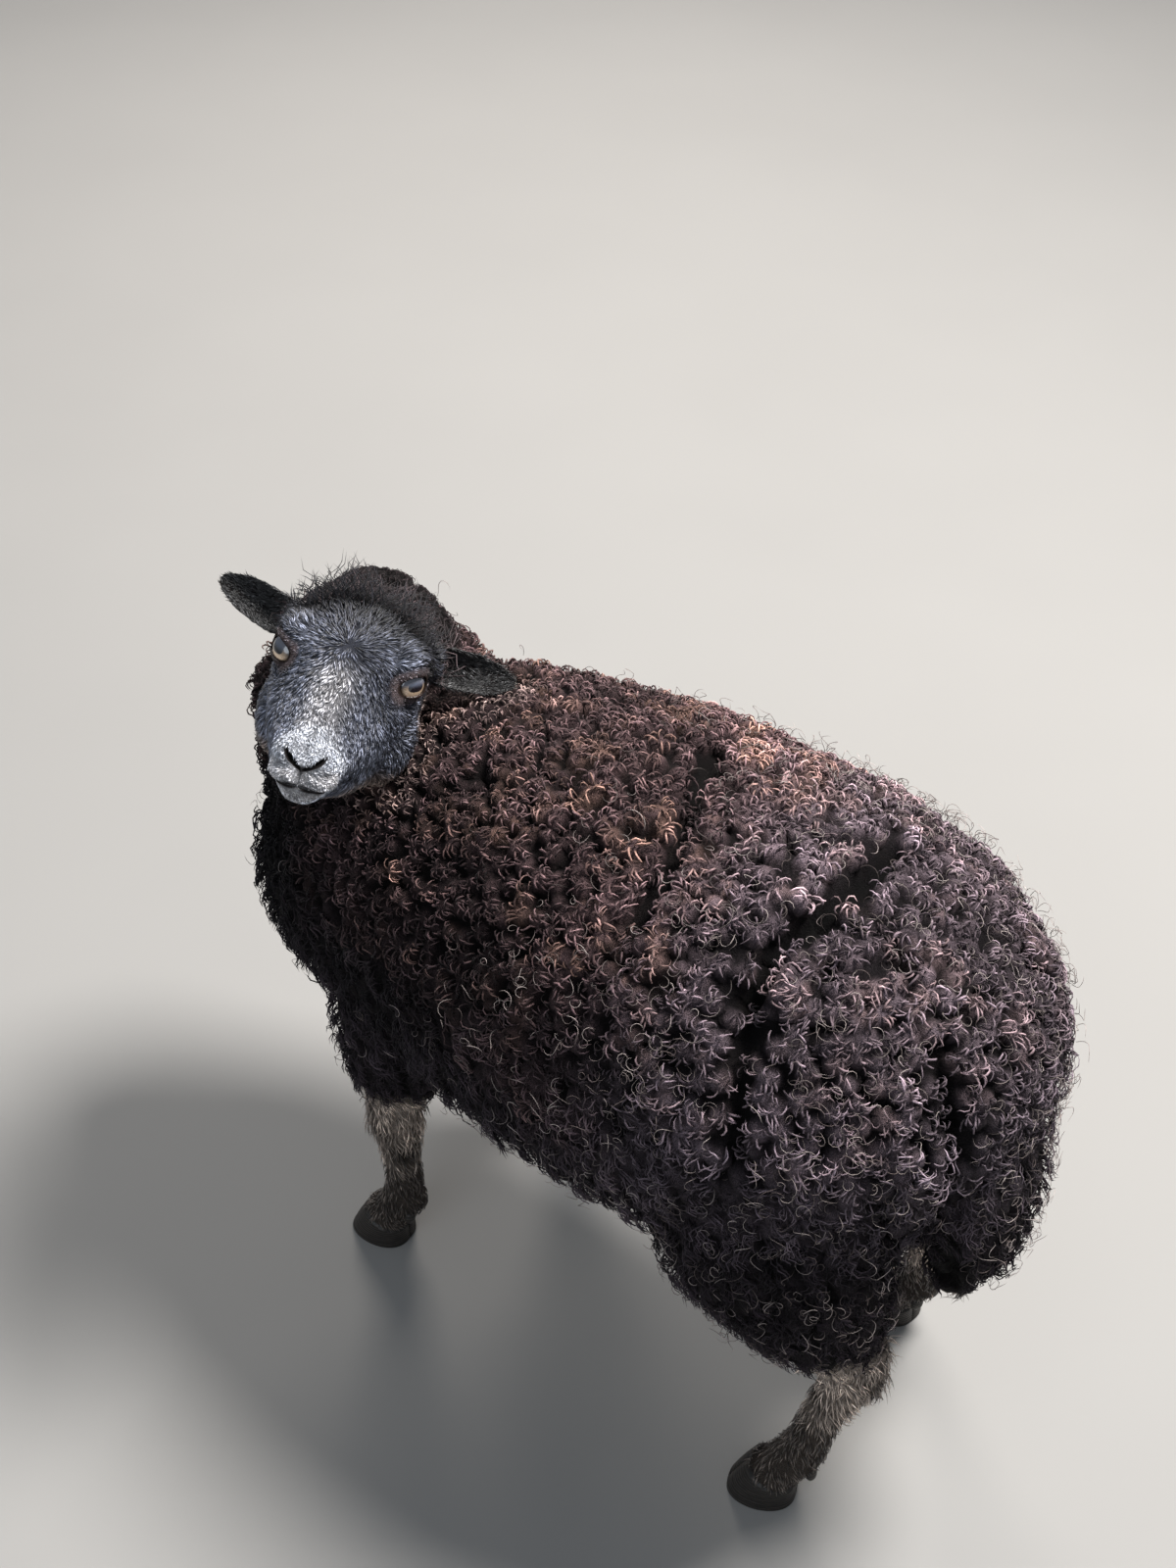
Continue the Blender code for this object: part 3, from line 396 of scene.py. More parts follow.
# Black of the chest: painted shade under head and neck
WOOL_BLACK = (0.010, 0.009, 0.012)
WOOL_GREY = (0.190, 0.151, 0.180)
STRAY_DARK = (0.100, 0.078, 0.074)
STRAY_PALE = (0.430, 0.370, 0.350)
SHANK_DARK = (0.034, 0.026, 0.022)
SHANK_TAN = (0.640, 0.530, 0.450)
HORN_DARK = (0.008, 0.007, 0.006)
HORN_MID = (0.016, 0.013, 0.011)
HORN_PALE = (0.036, 0.030, 0.025)
IRIS_DARK = (0.260, 0.150, 0.080)
IRIS_MID = (0.620, 0.440, 0.290)
IRIS_PALE = (0.950, 0.800, 0.620)
EYE_WHITE = (0.300, 0.220, 0.180)
# Painted reflection of the sky over the upper part of the eye
EYE_SKY_REFLECTION = (0.085, 0.100, 0.140)
PUPIL_BLACK = (0.004, 0.005, 0.008)

# Eyes: pupil half sizes, iris, clear front and the lids' wet rim
PUPIL = (0.0052, 0.0030)
IRIS_RADIUS = 0.0088
CORNEA_STARTS = 0.62
CORNEA_RISE = 0.055
RIM_RADIUS = 0.0134
RIM_SHARE = 1.02
RIM_THICK = 0.00075
RIM_STEPS = 72
RIM_SIDES = 10

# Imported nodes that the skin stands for
FLESH = ["torso", "neck", "tail", "head", "ear_left", "ear_right"]
FLESH += ["leg_" + leg[0] + "_" + part for leg in LEGS for part in ("upper", "lower")]

# Materials of the coat: name, roughness, specular level, sheen, scale of the fibre
COATS = (
    ("wool", 0.75, 0.10, 0.04, 900.0),
    ("hair", 0.42, 0.45, 0.05, 2200.0),
    ("crown", 0.65, 0.20, 0.04, 1500.0),
    ("lid_skin", 0.25, 0.50, 0.00, 1500.0),
)

# Studio: lights as name, place, size, power and colour
LIGHTS = (
    ("key", (-0.90, 0.70, 2.60), 0.9, 170.0, (1.00, 0.97, 0.94)),
    ("fill", (2.30, 0.30, 1.70), 2.0, 23.0, (0.86, 0.93, 1.00)),
    ("rim", (-1.70, -1.50, 1.70), 1.2, 48.0, (1.00, 0.94, 0.88)),
)
LIGHT_AIM = (0.0, 0.0, 0.25)
SKY_COLOUR = (0.80, 0.86, 0.95)
SKY_STRENGTH = 0.30
FLOOR_COLOUR = (0.270, 0.266, 0.258)
FLOOR_SIZE = 14.0

# Camera in the sheep's frame: what it looks at, from where, and its lens in millimetres
CAMERA_AIM = (-0.1193, -0.1645, 0.2800)
CAMERA_DISTANCE = 1.480
CAMERA_AZIMUTH = 128.0
CAMERA_RISE = 40.0
CAMERA_LENS = 51.75
CAMERA_SENSOR = 36.0

UP = Vector((0.0, 0.0, 1.0))
FRONT = Vector((0.0, -1.0, 0.0))
REAR = Vector((0.0, 1.0, 0.0))
SIDES = (1.0, -1.0)

scene = bpy.context.scene


# Making shapes

def curve_value(a, b, c, d, t):
    """Catmull-Rom value between b and c."""
    low = 2.0 * b + (c - a) * t
    high = (2.0 * a - 5.0 * b + 4.0 * c - d) * t * t + (3.0 * b - a - 3.0 * c + d) * t * t * t
    return 0.5 * (low + high)


def spline(rows, steps):
    """Pass a smooth curve through rows of numbers, steps samples to each span."""
    out = []
    last = len(rows) - 1
    for i in range(last):
        a, b = rows[max(i - 1, 0)], rows[i]
        c, d = rows[i + 1], rows[min(i + 2, last)]
        for k in range(steps):
            t = k / steps
            out.append(tuple(curve_value(a[j], b[j], c[j], d[j], t) for j in range(len(b))))
    out.append(tuple(rows[-1]))
    return out


def linked(name, data):
    """A new object in the scene."""
    made = bpy.data.objects.new(name, data)
    scene.collection.objects.link(made)
    return made


def from_work(name, work):
    """A new object from a bmesh, which is freed."""
    mesh = bpy.data.meshes.new(name)
    work.to_mesh(mesh)
    work.free()
    return linked(name, mesh)


def turning(degrees, axis, size=3):
    """A rotation about one axis."""
    return Matrix.Rotation(math.radians(degrees), size, axis)


def circle(count):
    """Cosine and sine of evenly spaced angles."""
    for k in range(count):
        a = 2.0 * math.pi * k / count
        yield math.cos(a), math.sin(a)


def mesh_object(name, verts, faces):
    """Make an object from points and faces, its normals outwards."""
    mesh = bpy.data.meshes.new(name)
    mesh.from_pydata([tuple(v) for v in verts], [], faces)
    work = bmesh.new()
    work.from_mesh(mesh)
    bmesh.ops.recalc_face_normals(work, faces=work.faces)
    work.to_mesh(mesh)
    work.free()
    return linked(name, mesh)


def loft(name, rings):
    """Join rings of equally many points into one closed body."""
    count = len(rings[0])
    verts = [point for ring in rings for point in ring]
    faces = [tuple(range(count))[::-1]]
    for r in range(len(rings) - 1):
        base = r * count
        for k in range(count):
            n = (k + 1) % count
            faces.append((base + k, base + n, base + count + n, base + count + k))
    last = (len(rings) - 1) * count
    faces.append(tuple(last + k for k in range(count)))
    return mesh_object(name, verts, faces)


def tube(name, rows, hint, sides, steps, inset, level=False):
    """Loft ovals along a path. Rows hold x, y, z, half width, reach along hint and against it."""
    path = spline(rows, steps)
    rings = []
    for i, row in enumerate(path):
        here = Vector(row[:3])
        ahead = Vector(path[min(i + 1, len(path) - 1)][:3]) - Vector(path[max(i - 1, 0)][:3])
        if level:
            ahead = Vector((0.0, 0.0, ahead.z))
        ahead.normalize()
        across = ahead.cross(hint).normalized()
        over = across.cross(ahead)
        ring = []
        for side, lift in circle(sides):
            reach = row[4] if lift > 0.0 else row[5]
            ring.append(here + across * side * (row[3] - inset) + over * lift * (reach - inset))
        rings.append(ring)
    return loft(name, rings)


def ball(name, at, radii, turn, around=32, up=20):
    """A scaled round body at a point, turned by a 3 by 3 matrix."""
    work = bmesh.new()
    bmesh.ops.create_uvsphere(work, u_segments=around, v_segments=up, radius=1.0)
    place = Matrix.Translation(at) @ turn.to_4x4() @ Matrix.Diagonal((*radii, 1.0))
    bmesh.ops.transform(work, matrix=place, verts=work.verts)
    return ordered(from_work(name, work))


def settle(obj):
    """Apply an object's modifiers."""
    graph = bpy.context.evaluated_depsgraph_get()
    made = bpy.data.meshes.new_from_object(obj.evaluated_get(graph))
    old = obj.data
    obj.modifiers.clear()
    obj.data = made
    bpy.data.meshes.remove(old)
    return obj


def joined(name, objects):
    """Put the meshes of several objects into one."""
    work = bmesh.new()
    for obj in objects:
        work.from_mesh(obj.data)
        bpy.data.objects.remove(obj)
    return from_work(name, work)


def melted(obj, voxel, rounds):
    """Turn overlapping closed bodies into one smooth closed body."""
    skin = obj.modifiers.new("skin", "REMESH")
    skin.mode = "VOXEL"
    skin.voxel_size = voxel
    soft = obj.modifiers.new("soft", "SMOOTH")
    soft.factor = 0.5
    soft.iterations = rounds
    return settle(obj)


def ordered(obj):
    """Sort an object's faces, which Booleans and round bodies leave in any order."""
    faces = []
    for face in obj.data.polygons:
        loop = tuple(face.vertices)
        first = loop.index(min(loop))
        faces.append(loop[first:] + loop[:first])
    mesh = bpy.data.meshes.new(obj.name)
    mesh.from_pydata(points_of(obj), [], sorted(faces))
    old, obj.data = obj.data, mesh
    bpy.data.meshes.remove(old)
    return obj


def combine(obj, other, operation):
    """Apply a Boolean of one object with another, which is then removed."""
    step = obj.modifiers.new("join", "BOOLEAN")
    step.operation = operation
    step.solver = "MANIFOLD"
    step.object = other
    ordered(settle(obj))
    bpy.data.objects.remove(other)
    return obj


def points_of(obj, what="co"):
    """Vertex positions of an object's mesh as an array, or their normals."""
    flat = np.empty(len(obj.data.vertices) * 3)
    obj.data.vertices.foreach_get(what, flat)
    return flat.reshape(-1, 3)


def move_points(obj, points):
    """Write vertex positions back to an object's mesh."""
    obj.data.vertices.foreach_set("co", points.ravel())
    obj.data.update()


def relax(obj, share, rounds):
    """Even out a mesh where share is above nothing, by the mean of each point's neighbours."""
    edges = np.empty(len(obj.data.edges) * 2, dtype=np.int64)
    obj.data.edges.foreach_get("vertices", edges)
    a, b = edges.reshape(-1, 2).T
    points = points_of(obj)
    degree = np.bincount(np.concatenate((a, b)), minlength=len(points))[:, None]
    for _ in range(rounds):
        total = np.zeros_like(points)
        for axis in range(3):
            total[:, axis] += np.bincount(a, points[b, axis], len(points))
            total[:, axis] += np.bincount(b, points[a, axis], len(points))
        points += (total / np.maximum(degree, 1) - points) * share[:, None] * 0.5
    move_points(obj, points)


# Fields over space

def ramp(value, low, high):
    """Smooth step from 0 at low to 1 at high, also downwards."""
    t = np.clip((value - low) / (high - low), 0.0, 1.0)
    return t * t * (3.0 - 2.0 * t)


def noise(points, size, seed):
    """Smooth value from 0 to 1 that changes over about that size."""
    spot = np.asarray(points) / size
    cell = np.floor(spot).astype(np.int64)
    part = spot - cell
    part = part * part * (3.0 - 2.0 * part)
    table = np.random.default_rng(seed).random(4096)
    total = np.zeros(len(spot))
    for corner in np.ndindex(2, 2, 2):
        at = cell + corner
        index = (at[:, 0] * 73856093 ^ at[:, 1] * 19349663 ^ at[:, 2] * 83492791) & 4095
        weight = np.prod(np.where(corner, part, 1.0 - part), axis=1)
        total += table[index] * weight
    return total


def unit(vectors):
    """Vectors of length one."""
    return vectors / np.maximum(np.linalg.norm(vectors, axis=-1, keepdims=True), 1e-9)


def apart(points, place):
    """Distance of each point from one place."""
    return np.linalg.norm(points - np.array(place), axis=1)


def towards(first, second, turn):
    """Directions turned from the first towards the second, by an angle for each row."""
    return first * np.cos(turn)[:, None] + second * np.sin(turn)[:, None]


def steered(*parts):
    """Directions at every step, from vectors and the share of each at each step."""
    return sum(vectors[:, None] * share[..., None] for vectors, share in parts)


def near_line(points, line):
    """Distance from points to a chain of straight spans."""
    best = np.full(len(points), 1e9)
    for start, end in zip(line[:-1], line[1:]):
        a, b = np.array(start), np.array(end)
        t = np.clip((points - a) @ (b - a) / ((b - a) @ (b - a)), 0.0, 1.0)
        best = np.minimum(best, np.linalg.norm(points - (a + t[:, None] * (b - a)), axis=1))
    return best


# The head's own frame

def head_matrix():
    """Frame of the head: nose along minus Y, left along X, up along Z."""
    size = Matrix.Diagonal((HEAD_SCALE, HEAD_SCALE, HEAD_SCALE, 1.0))
    return (Matrix.Translation(HEAD_AT) @ turning(HEAD_TURN, "Z", 4)
            @ turning(HEAD_LIFT, "X", 4) @ turning(HEAD_TILT, "Y", 4) @ size)


HEAD_FRAME = head_matrix()
TO_HEAD = np.array(HEAD_FRAME.inverted())
HEAD_AXES = np.array(HEAD_FRAME)[:3, :3] / HEAD_SCALE


def in_head(points):
    """Points of the sheep's frame in the head's frame, as side, forward, up."""
    spots = points @ TO_HEAD[:3, :3].T + TO_HEAD[:3, 3]
    return spots * (1.0, -1.0, 1.0)


def local(side, forward, up):
    """A point of the head's frame from side, forward and up."""
    return Vector((side, -forward, up))


def head_ring(row, sides):
    """Closed outline of the head across its length."""
    forward, top, bottom, wide_top, wide_mid, wide_low = row
    tall = top - bottom
    half = [(0.0, top), (wide_top * 0.55, top - 0.035 * tall), (wide_top, top - 0.16 * tall),
            (wide_mid, top - 0.42 * tall), (0.5 * (wide_mid + wide_low), top - 0.68 * tall),
            (wide_low * 0.86, top - 0.88 * tall), (wide_low * 0.48, top - 0.975 * tall),
            (0.0, bottom)]
    loop = half + [(-x, z) for x, z in half[-2:0:-1]]
    count = len(loop)
    ring = []
    for k in range(sides):
        at = k * count / sides
        i, t = int(at), at - int(at)
        a, b, c, d = (loop[(i + j) % count] for j in (-1, 0, 1, 2))
        x = curve_value(a[0], b[0], c[0], d[0], t)
        z = curve_value(a[1], b[1], c[1], d[1], t)
        ring.append(local(x, forward, z))
    return ring


def lump(row, side):
    """An oval body of the head on one side."""
    return ball("lump", local(row[0] * side, row[1], row[2]), row[3:6], Matrix.Identity(3))


def eye_centre(side):
    """Middle of one eyeball in the head's frame."""
    return local(EYE_AT[0] * side, EYE_AT[1], EYE_AT[2])


def eye_turn(side):
    """Rotation that takes Z to the gaze of one eye and X to its long axis."""
    return (turning(EYE_OUT * side, "Z") @ turning(90.0 - EYE_UP, "X")
            @ turning(EYE_SLANT * side, "Z"))


def eye_frame(side):
    """Frame of one eye in the sheep's frame."""
    return HEAD_FRAME @ Matrix.Translation(eye_centre(side)) @ eye_turn(side).to_4x4()


def eye_outline(count, share=1.0):
    """Almond opening of the lids as x and y in the eye's frame."""
    for x, y in circle(count):
        narrow = abs(y) ** EYE_CORNER * math.copysign(1.0, y)
        yield x * EYE_OPENING[0] * share, narrow * EYE_OPENING[1] * share


def open_eye(head, side):
    """Lids over one eye, with an almond opening and a socket round the ball."""
    at, turn = eye_centre(side), eye_turn(side)
    combine(head, ball("lids", at, (EYE_RADIUS + LID_THICKNESS,) * 3, turn, *LID_MESH), "UNION")
    relax(head, ramp(apart(points_of(head), at), *LID_SOFT), LID_ROUNDS)
    rings = [[at + turn @ Vector((x, y, depth)) for x, y in eye_outline(48, share)]
             for depth, share in SLIT]
    combine(head, loft("slit", rings), "DIFFERENCE")
    combine(head, ball("socket", at, (EYE_RADIUS + SOCKET_GAP,) * 3, turn, *LID_MESH), "DIFFERENCE")


def fold_lids(head):
    """Press the fold of the upper lid and the soft bag below the eye."""
    points, normals = points_of(head), points_of(head, "normal")
    reach, over = round_the_eye(points * (1.0, -1.0, 1.0), True)
    fold = np.exp(-((reach - FOLD_AT) / FOLD_SOFT) ** 2) * ramp(over, 0.0, 0.6)
    bag = np.exp(-((reach - FOLD_AT * 1.15) / FOLD_SOFT) ** 2) * ramp(over, 0.0, -0.6)
    move_points(head, points - normals * ((fold + 0.6 * bag) * FOLD_DEPTH)[:, None])


def groove(head, guide, width, depth):
    """Press a V groove into a body along guide points near its surface."""
    tree = tree_of(head)
    spots = []
    for point in spline(guide, 6):
        at, normal, _, _ = tree.find_nearest(Vector(point))
        spots.append((at, normal))
    rings = []
    for i, (at, normal) in enumerate(spots):
        ahead = spots[min(i + 1, len(spots) - 1)][0] - spots[max(i - 1, 0)][0]
        across = ahead.cross(normal).normalized() * width
        out = normal * GROOVE_ABOVE
        rings.append([at - normal * depth, at + across + out, at - across + out])
    combine(head, loft("groove", rings), "DIFFERENCE")


def nostril_place(side):
    """Middle of one slanting nostril and its turn, in the head's frame."""
    at = local(NOSTRIL_AT[0] * side, NOSTRIL_AT[1], NOSTRIL_AT[2])
    return at, turning(NOSTRIL_OUT * side, "Z") @ turning(-NOSTRIL_SLANT * side, "Y")


def open_nose(head, side):
    """One nostril."""
    at, turn = nostril_place(side)
    combine(head, ball("nostril", at, NOSTRIL_SIZE, turn), "DIFFERENCE")


def both_sides(half):
    """Guide points from one corner over the middle to the other corner."""
    left = [local(*p) for p in half]
    return left + [Vector((-p.x, p.y, p.z)) for p in left[-2::-1]]


def ear_matrix(side):
    """Frame of one ear: tip along X, open side towards minus Y."""
    place = (Matrix.Translation(local(*EAR_AT)) @ turning(90.0 - EAR_OUT, "Z", 4)
             @ turning(-EAR_RISE[side], "Y", 4) @ turning(EAR_ROLL[side], "X", 4))
    return Matrix.Diagonal((side, 1.0, 1.0, 1.0)) @ place


def ear_body(side):
    """A cupped leaf, rolled nearly to a pipe at its root."""
    place = ear_matrix(side)
    rings = []
    for share, half, cup in spline(EAR, 8):
        along = share * EAR_LENGTH - EAR_ROOT_DEPTH
        angle = math.radians(cup)
        radius = half / math.sin(min(angle, math.pi * 0.5))
        mid = radius * math.cos(angle)
        thick = EAR_THICKNESS * (1.0 - 0.55 * share)
        outer, inner = [], []
        for k in range(EAR_ACROSS):
            edge = 2.0 * k / (EAR_ACROSS - 1) - 1.0
            a = angle * edge
            depth = thick * (1.0 - 0.35 * abs(edge)) * max(1.0 - edge ** 8, 0.25)
            for reach, line in ((radius, outer), (radius - depth, inner)):
                line.append(place @ Vector((along, reach * math.cos(a) - mid,
                                            reach * math.sin(a))))
        rings.append(outer + inner[::-1])
    return loft("ear", rings)


def tree_of(obj):
    """Search tree over an object's faces."""
    work = bmesh.new()
    work.from_mesh(obj.data)
    tree = BVHTree.FromBMesh(work)
    work.free()
    return tree


# The skin

def head_skin():
    """Head with lids, nostrils, mouth and ears, in its own frame."""
    parts = [loft("head", [head_ring(row, 64) for row in spline(HEAD, 6)])]
    for row in (ORBIT, CHEEK, NOSE_WING, UPPER_LIP, EAR_ROOT):
        parts += [lump(row, side) for side in SIDES]
    parts.append(lump(CHIN, 1.0))
    head = melted(joined("head_skin", parts), HEAD_VOXEL, HEAD_ROUNDS)
    for side in SIDES:
        open_eye(head, side)
        open_nose(head, side)
    fold_lids(head)
    groove(head, both_sides(MOUTH_LINE), MOUTH_WIDTH, MOUTH_DEPTH)
    groove(head, [local(*p) for p in PHILTRUM], MOUTH_WIDTH * 0.8, MOUTH_DEPTH * 0.8)
    for side in SIDES:
        combine(head, ear_body(side), "UNION")
        root = ear_matrix(side) @ Vector((0.0, 0.0, 0.0))
        relax(head, ramp(apart(points_of(head), root), *EAR_ROOT_SOFT) * 0.8, 8)
    return head


def leg_rows(rows, side, back):
    """Rows of one leg from the rows of the left one."""
    return [(x * side, y + back, z, w, f, b) for x, y, z, w, f, b in rows]


def foot_frame(rows, yaw):
    """Frame of one foot on the floor: toe along minus Y."""
    return Matrix.Translation((rows[-1][0], rows[-1][1], 0.0)) @ turning(yaw, "Z", 4)


def coronet_height(y):
    """Height of the hoof's upper edge, higher at the toe."""
    share = (y - CLAW_FORWARD) / CORONET_LENGTH + 0.5
    return CORONET_HEEL_Z + (CORONET_TOE_Z - CORONET_HEEL_Z) * share


def shank(rows, yaw):
    """Lower leg down to the coronet."""
    rings = []
    for row in spline(rows, 5):
        share = float(ramp(row[2], *FOOT_TURNS))
        turned = Matrix.Rotation(math.radians(yaw) * share, 3, "Z")
        ring = []
        for side, ahead in circle(LEG_SIDES):
            reach = row[4] if ahead > 0.0 else row[5]
            ring.append(Vector(row[:3]) + turned @ Vector((side * row[3], -ahead * reach, 0.0)))
        rings.append(ring)
    foot = foot_frame(rows, yaw)
    end = []
    for side, ahead in circle(LEG_SIDES):
        y = CLAW_FORWARD + ahead * CORONET_LENGTH * 0.5
        end.append(foot @ Vector((side * CORONET_WIDTH, -y, coronet_height(y) + SHANK_OVERLAP)))
    return loft("shank", rings + [end])


def whole_skin():
    """One closed skin over body, limbs, head and ears."""
    parts = [tube("torso", TORSO, UP, 56, 5, FLEECE_DEPTH),
             tube("neck", NECK, UP, 40, 5, FLEECE_DEPTH),
             tube("tail", TAIL, REAR, 24, 4, LIMB_DEPTH)]
    for _, side, back, _, upper, _ in LEGS:
        rows = leg_rows(upper, side, back)
        parts.append(tube("thigh", rows, FRONT, LEG_SIDES, 4, LIMB_DEPTH, True))
    skin = melted(joined("skin", parts), BODY_VOXEL, BODY_ROUNDS)
    for _, side, back, yaw, _, lower in LEGS:
        combine(skin, melted(shank(leg_rows(lower, side, back), yaw), LEG_VOXEL, LEG_ROUNDS), "UNION")
    head = head_skin()
    head.data.transform(HEAD_FRAME)
    head_tree = tree_of(head)
    combine(skin, head, "UNION")
    return skin, head_tree


# Markings

def blend(first, second, share):
    """Colours between two, share a number for each row."""
    return np.asarray(first) + (np.asarray(second) - np.asarray(first)) * share[:, None]


def layered(colour, *layers):
    """Colours painted over one another, each layer a colour and its share."""
    for paint, share in layers:
        colour = blend(colour, paint, share)
    return colour


def one_side(spots):
    """Points of the head's frame, mirrored onto its left side."""
    return np.column_stack((np.abs(spots[:, 0]), spots[:, 1:]))


def round_the_eye(spots, both=False):
    """Distance out from the gaze of the nearer eye, as a share of the lids' opening."""
    mirrored = one_side(spots) * (1.0, -1.0, 1.0)
    away = (mirrored - np.array(eye_centre(1.0))) @ np.array(eye_turn(1.0))
    over = away[:, 1] / EYE_OPENING[1]
    reach = np.where(away[:, 2] > 0.004, np.hypot(away[:, 0] / EYE_OPENING[0], over), 9.0)
    return (reach, over) if both else reach


def face_colour(spots):
    """Colour of the short hair on head and ears, with painted sheen, from points in the head's frame.
    """
    half = one_side(spots)
    side, forward, up = half.T
    # Painted sheen on the black hair: bluish low on the face, FACE_SHEEN on front, cheeks, brows
    flat = ramp(up, -0.072, -0.036) * ramp(side, 0.060, 0.030)
    front = 0.55 * ramp(up, -0.050, -0.020) * ramp(forward, 0.015, 0.040)
    cheek = ramp(up, -0.062, -0.045) * ramp(up, -0.006, -0.022) * ramp(forward, -0.030, -0.010)
    brow = ramp(apart(half, BROW_SHEEN_AT), 0.022, 0.008)
    bridge = ramp(side, 0.017, 0.004) * ramp(forward, 0.020, 0.040) * ramp(up, -0.050, -0.022)
    patchy = 0.70 + 0.30 * noise(spots, 0.008, 21)
    muzzle = ramp(forward, 0.064, 0.080)
    lips = ramp(forward, 0.074, 0.088) * ramp(up, -0.026, -0.036)
    jaw = ramp(up, -0.046, -0.062) * ramp(forward, 0.055, 0.025)
    behind = ramp(up, -0.004, -0.018) * ramp(forward, -0.014, -0.030)
    lids = ramp(round_the_eye(spots), 2.1, 1.4)
    crown = ramp(forward, 0.014, -0.024) * ramp(up, 0.000, 0.015)
    colour = layered(blend(FACE_BLACK, FACE_BLUE_SHEEN, flat), (FACE_SHEEN, front),
                     (FACE_SHEEN, 0.95 * cheek), (FACE_SHEEN, brow), (FROST, bridge * patchy),
                     (MUZZLE_GREY, muzzle * 0.85), (LIP_PALE, lips * 0.9),
                     (JAW_BROWN, jaw * 0.8), (JAW_BROWN, behind * 0.85),
                     (LID_BROWN, lids * 0.8), (CROWN_BLACK, crown * 0.90))
    return colour * (0.60 + 0.8 * noise(spots, 0.004, 22))[:, None]


def round_the_mouth(spots):
    """Distance from the mouth's line and the groove between nose and lip."""
    half = one_side(spots)
    return np.minimum(near_line(half, MOUTH_LINE), near_line(half, PHILTRUM))


def round_the_nostril(spots):
    """Distance from the nearer nostril, as a share of its slit."""
    reach = np.full(len(spots), 9.0)
    for side in SIDES:
        at, turn = nostril_place(side)
        away = (spots * (1.0, -1.0, 1.0) - np.array(at)) @ np.array(turn)
        reach = np.minimum(reach, np.linalg.norm(away / np.array(NOSTRIL_SIZE), axis=1))
    return reach


def wool_colour(points):
    """Fleece colour at its tips: bleached brown above, dark below, with painted light and shade."""
    patch = noise(points, 0.045, 31)
    fine = noise(points, 0.009, 32)
    high = swell(points)
    # Partly the tips' own bleaching, partly painted light on top and painted shade on the lower
    # flanks
    bleach_and_top_light = ramp(points[:, 2] + 0.05 * (patch - 0.5), 0.300, 0.425)
    rump = ramp(points[:, 1], 0.000, 0.090) * ramp(points[:, 2], 0.250, 0.340)
    # Reddish tips on the swells' tops up high: their own bleached colour and painted highlight
    red = ramp(fine, 0.35, 0.75) * ramp(high, 0.30, 0.65) * bleach_and_top_light * (1.0 - 0.70 * rump)
    # Painted shade: the chest under head and neck darker
    chest = ramp(points[:, 1], -0.190, -0.260) * ramp(points[:, 2], 0.430, 0.350)
    crown = np.maximum(crown_share(points), tucked(points))
    colour = layered(blend(WOOL_DARK, WOOL_BROWN, bleach_and_top_light), (WOOL_GREY, rump * 0.8),
                     (WOOL_RED, red * 0.85), (WOOL_BLACK, chest * 0.85), (CROWN_BROWN, crown))
    # Painted light: a highlight along the top of the back, painted shade near the head
    near = ramp(apart(points, HEAD_AT), 0.240, 0.180)
    fleece_painted_light = 1.0 + 0.35 * ramp(points[:, 2], 0.405, 0.440) * (1.0 - crown) - 0.50 * near
    # (0.45 + 1.05 * high): painted light on the swells' tops, painted shade in their hollows
    return colour * ((0.75 + 0.5 * patch) * (0.45 + 1.05 * high) * fleece_painted_light)[:, None]


def leg_colour(points):
    """Short hair of the lower legs, tan round hock and knee."""
    tan = ramp(noise(points, 0.020, 41), 0.05, 0.70)
    joint = ramp(np.abs(points[:, 2] - 0.128), 0.055, 0.025)
    colour = blend(SHANK_DARK, SHANK_TAN, tan * (0.16 + 0.80 * joint))
    return colour * (0.7 + 0.6 * noise(points, 0.005, 42))[:, None]


# Where things grow

def touching_head(points, head_tree):
    """True for the points that lie on the head's surface."""
    found = np.zeros(len(points), dtype=bool)
    for n in np.flatnonzero(apart(points, HEAD_AT) < HEAD_REACH):
        found[n] = head_tree.find_nearest(Vector(points[n]), TOUCHING)[0] is not None
    return found


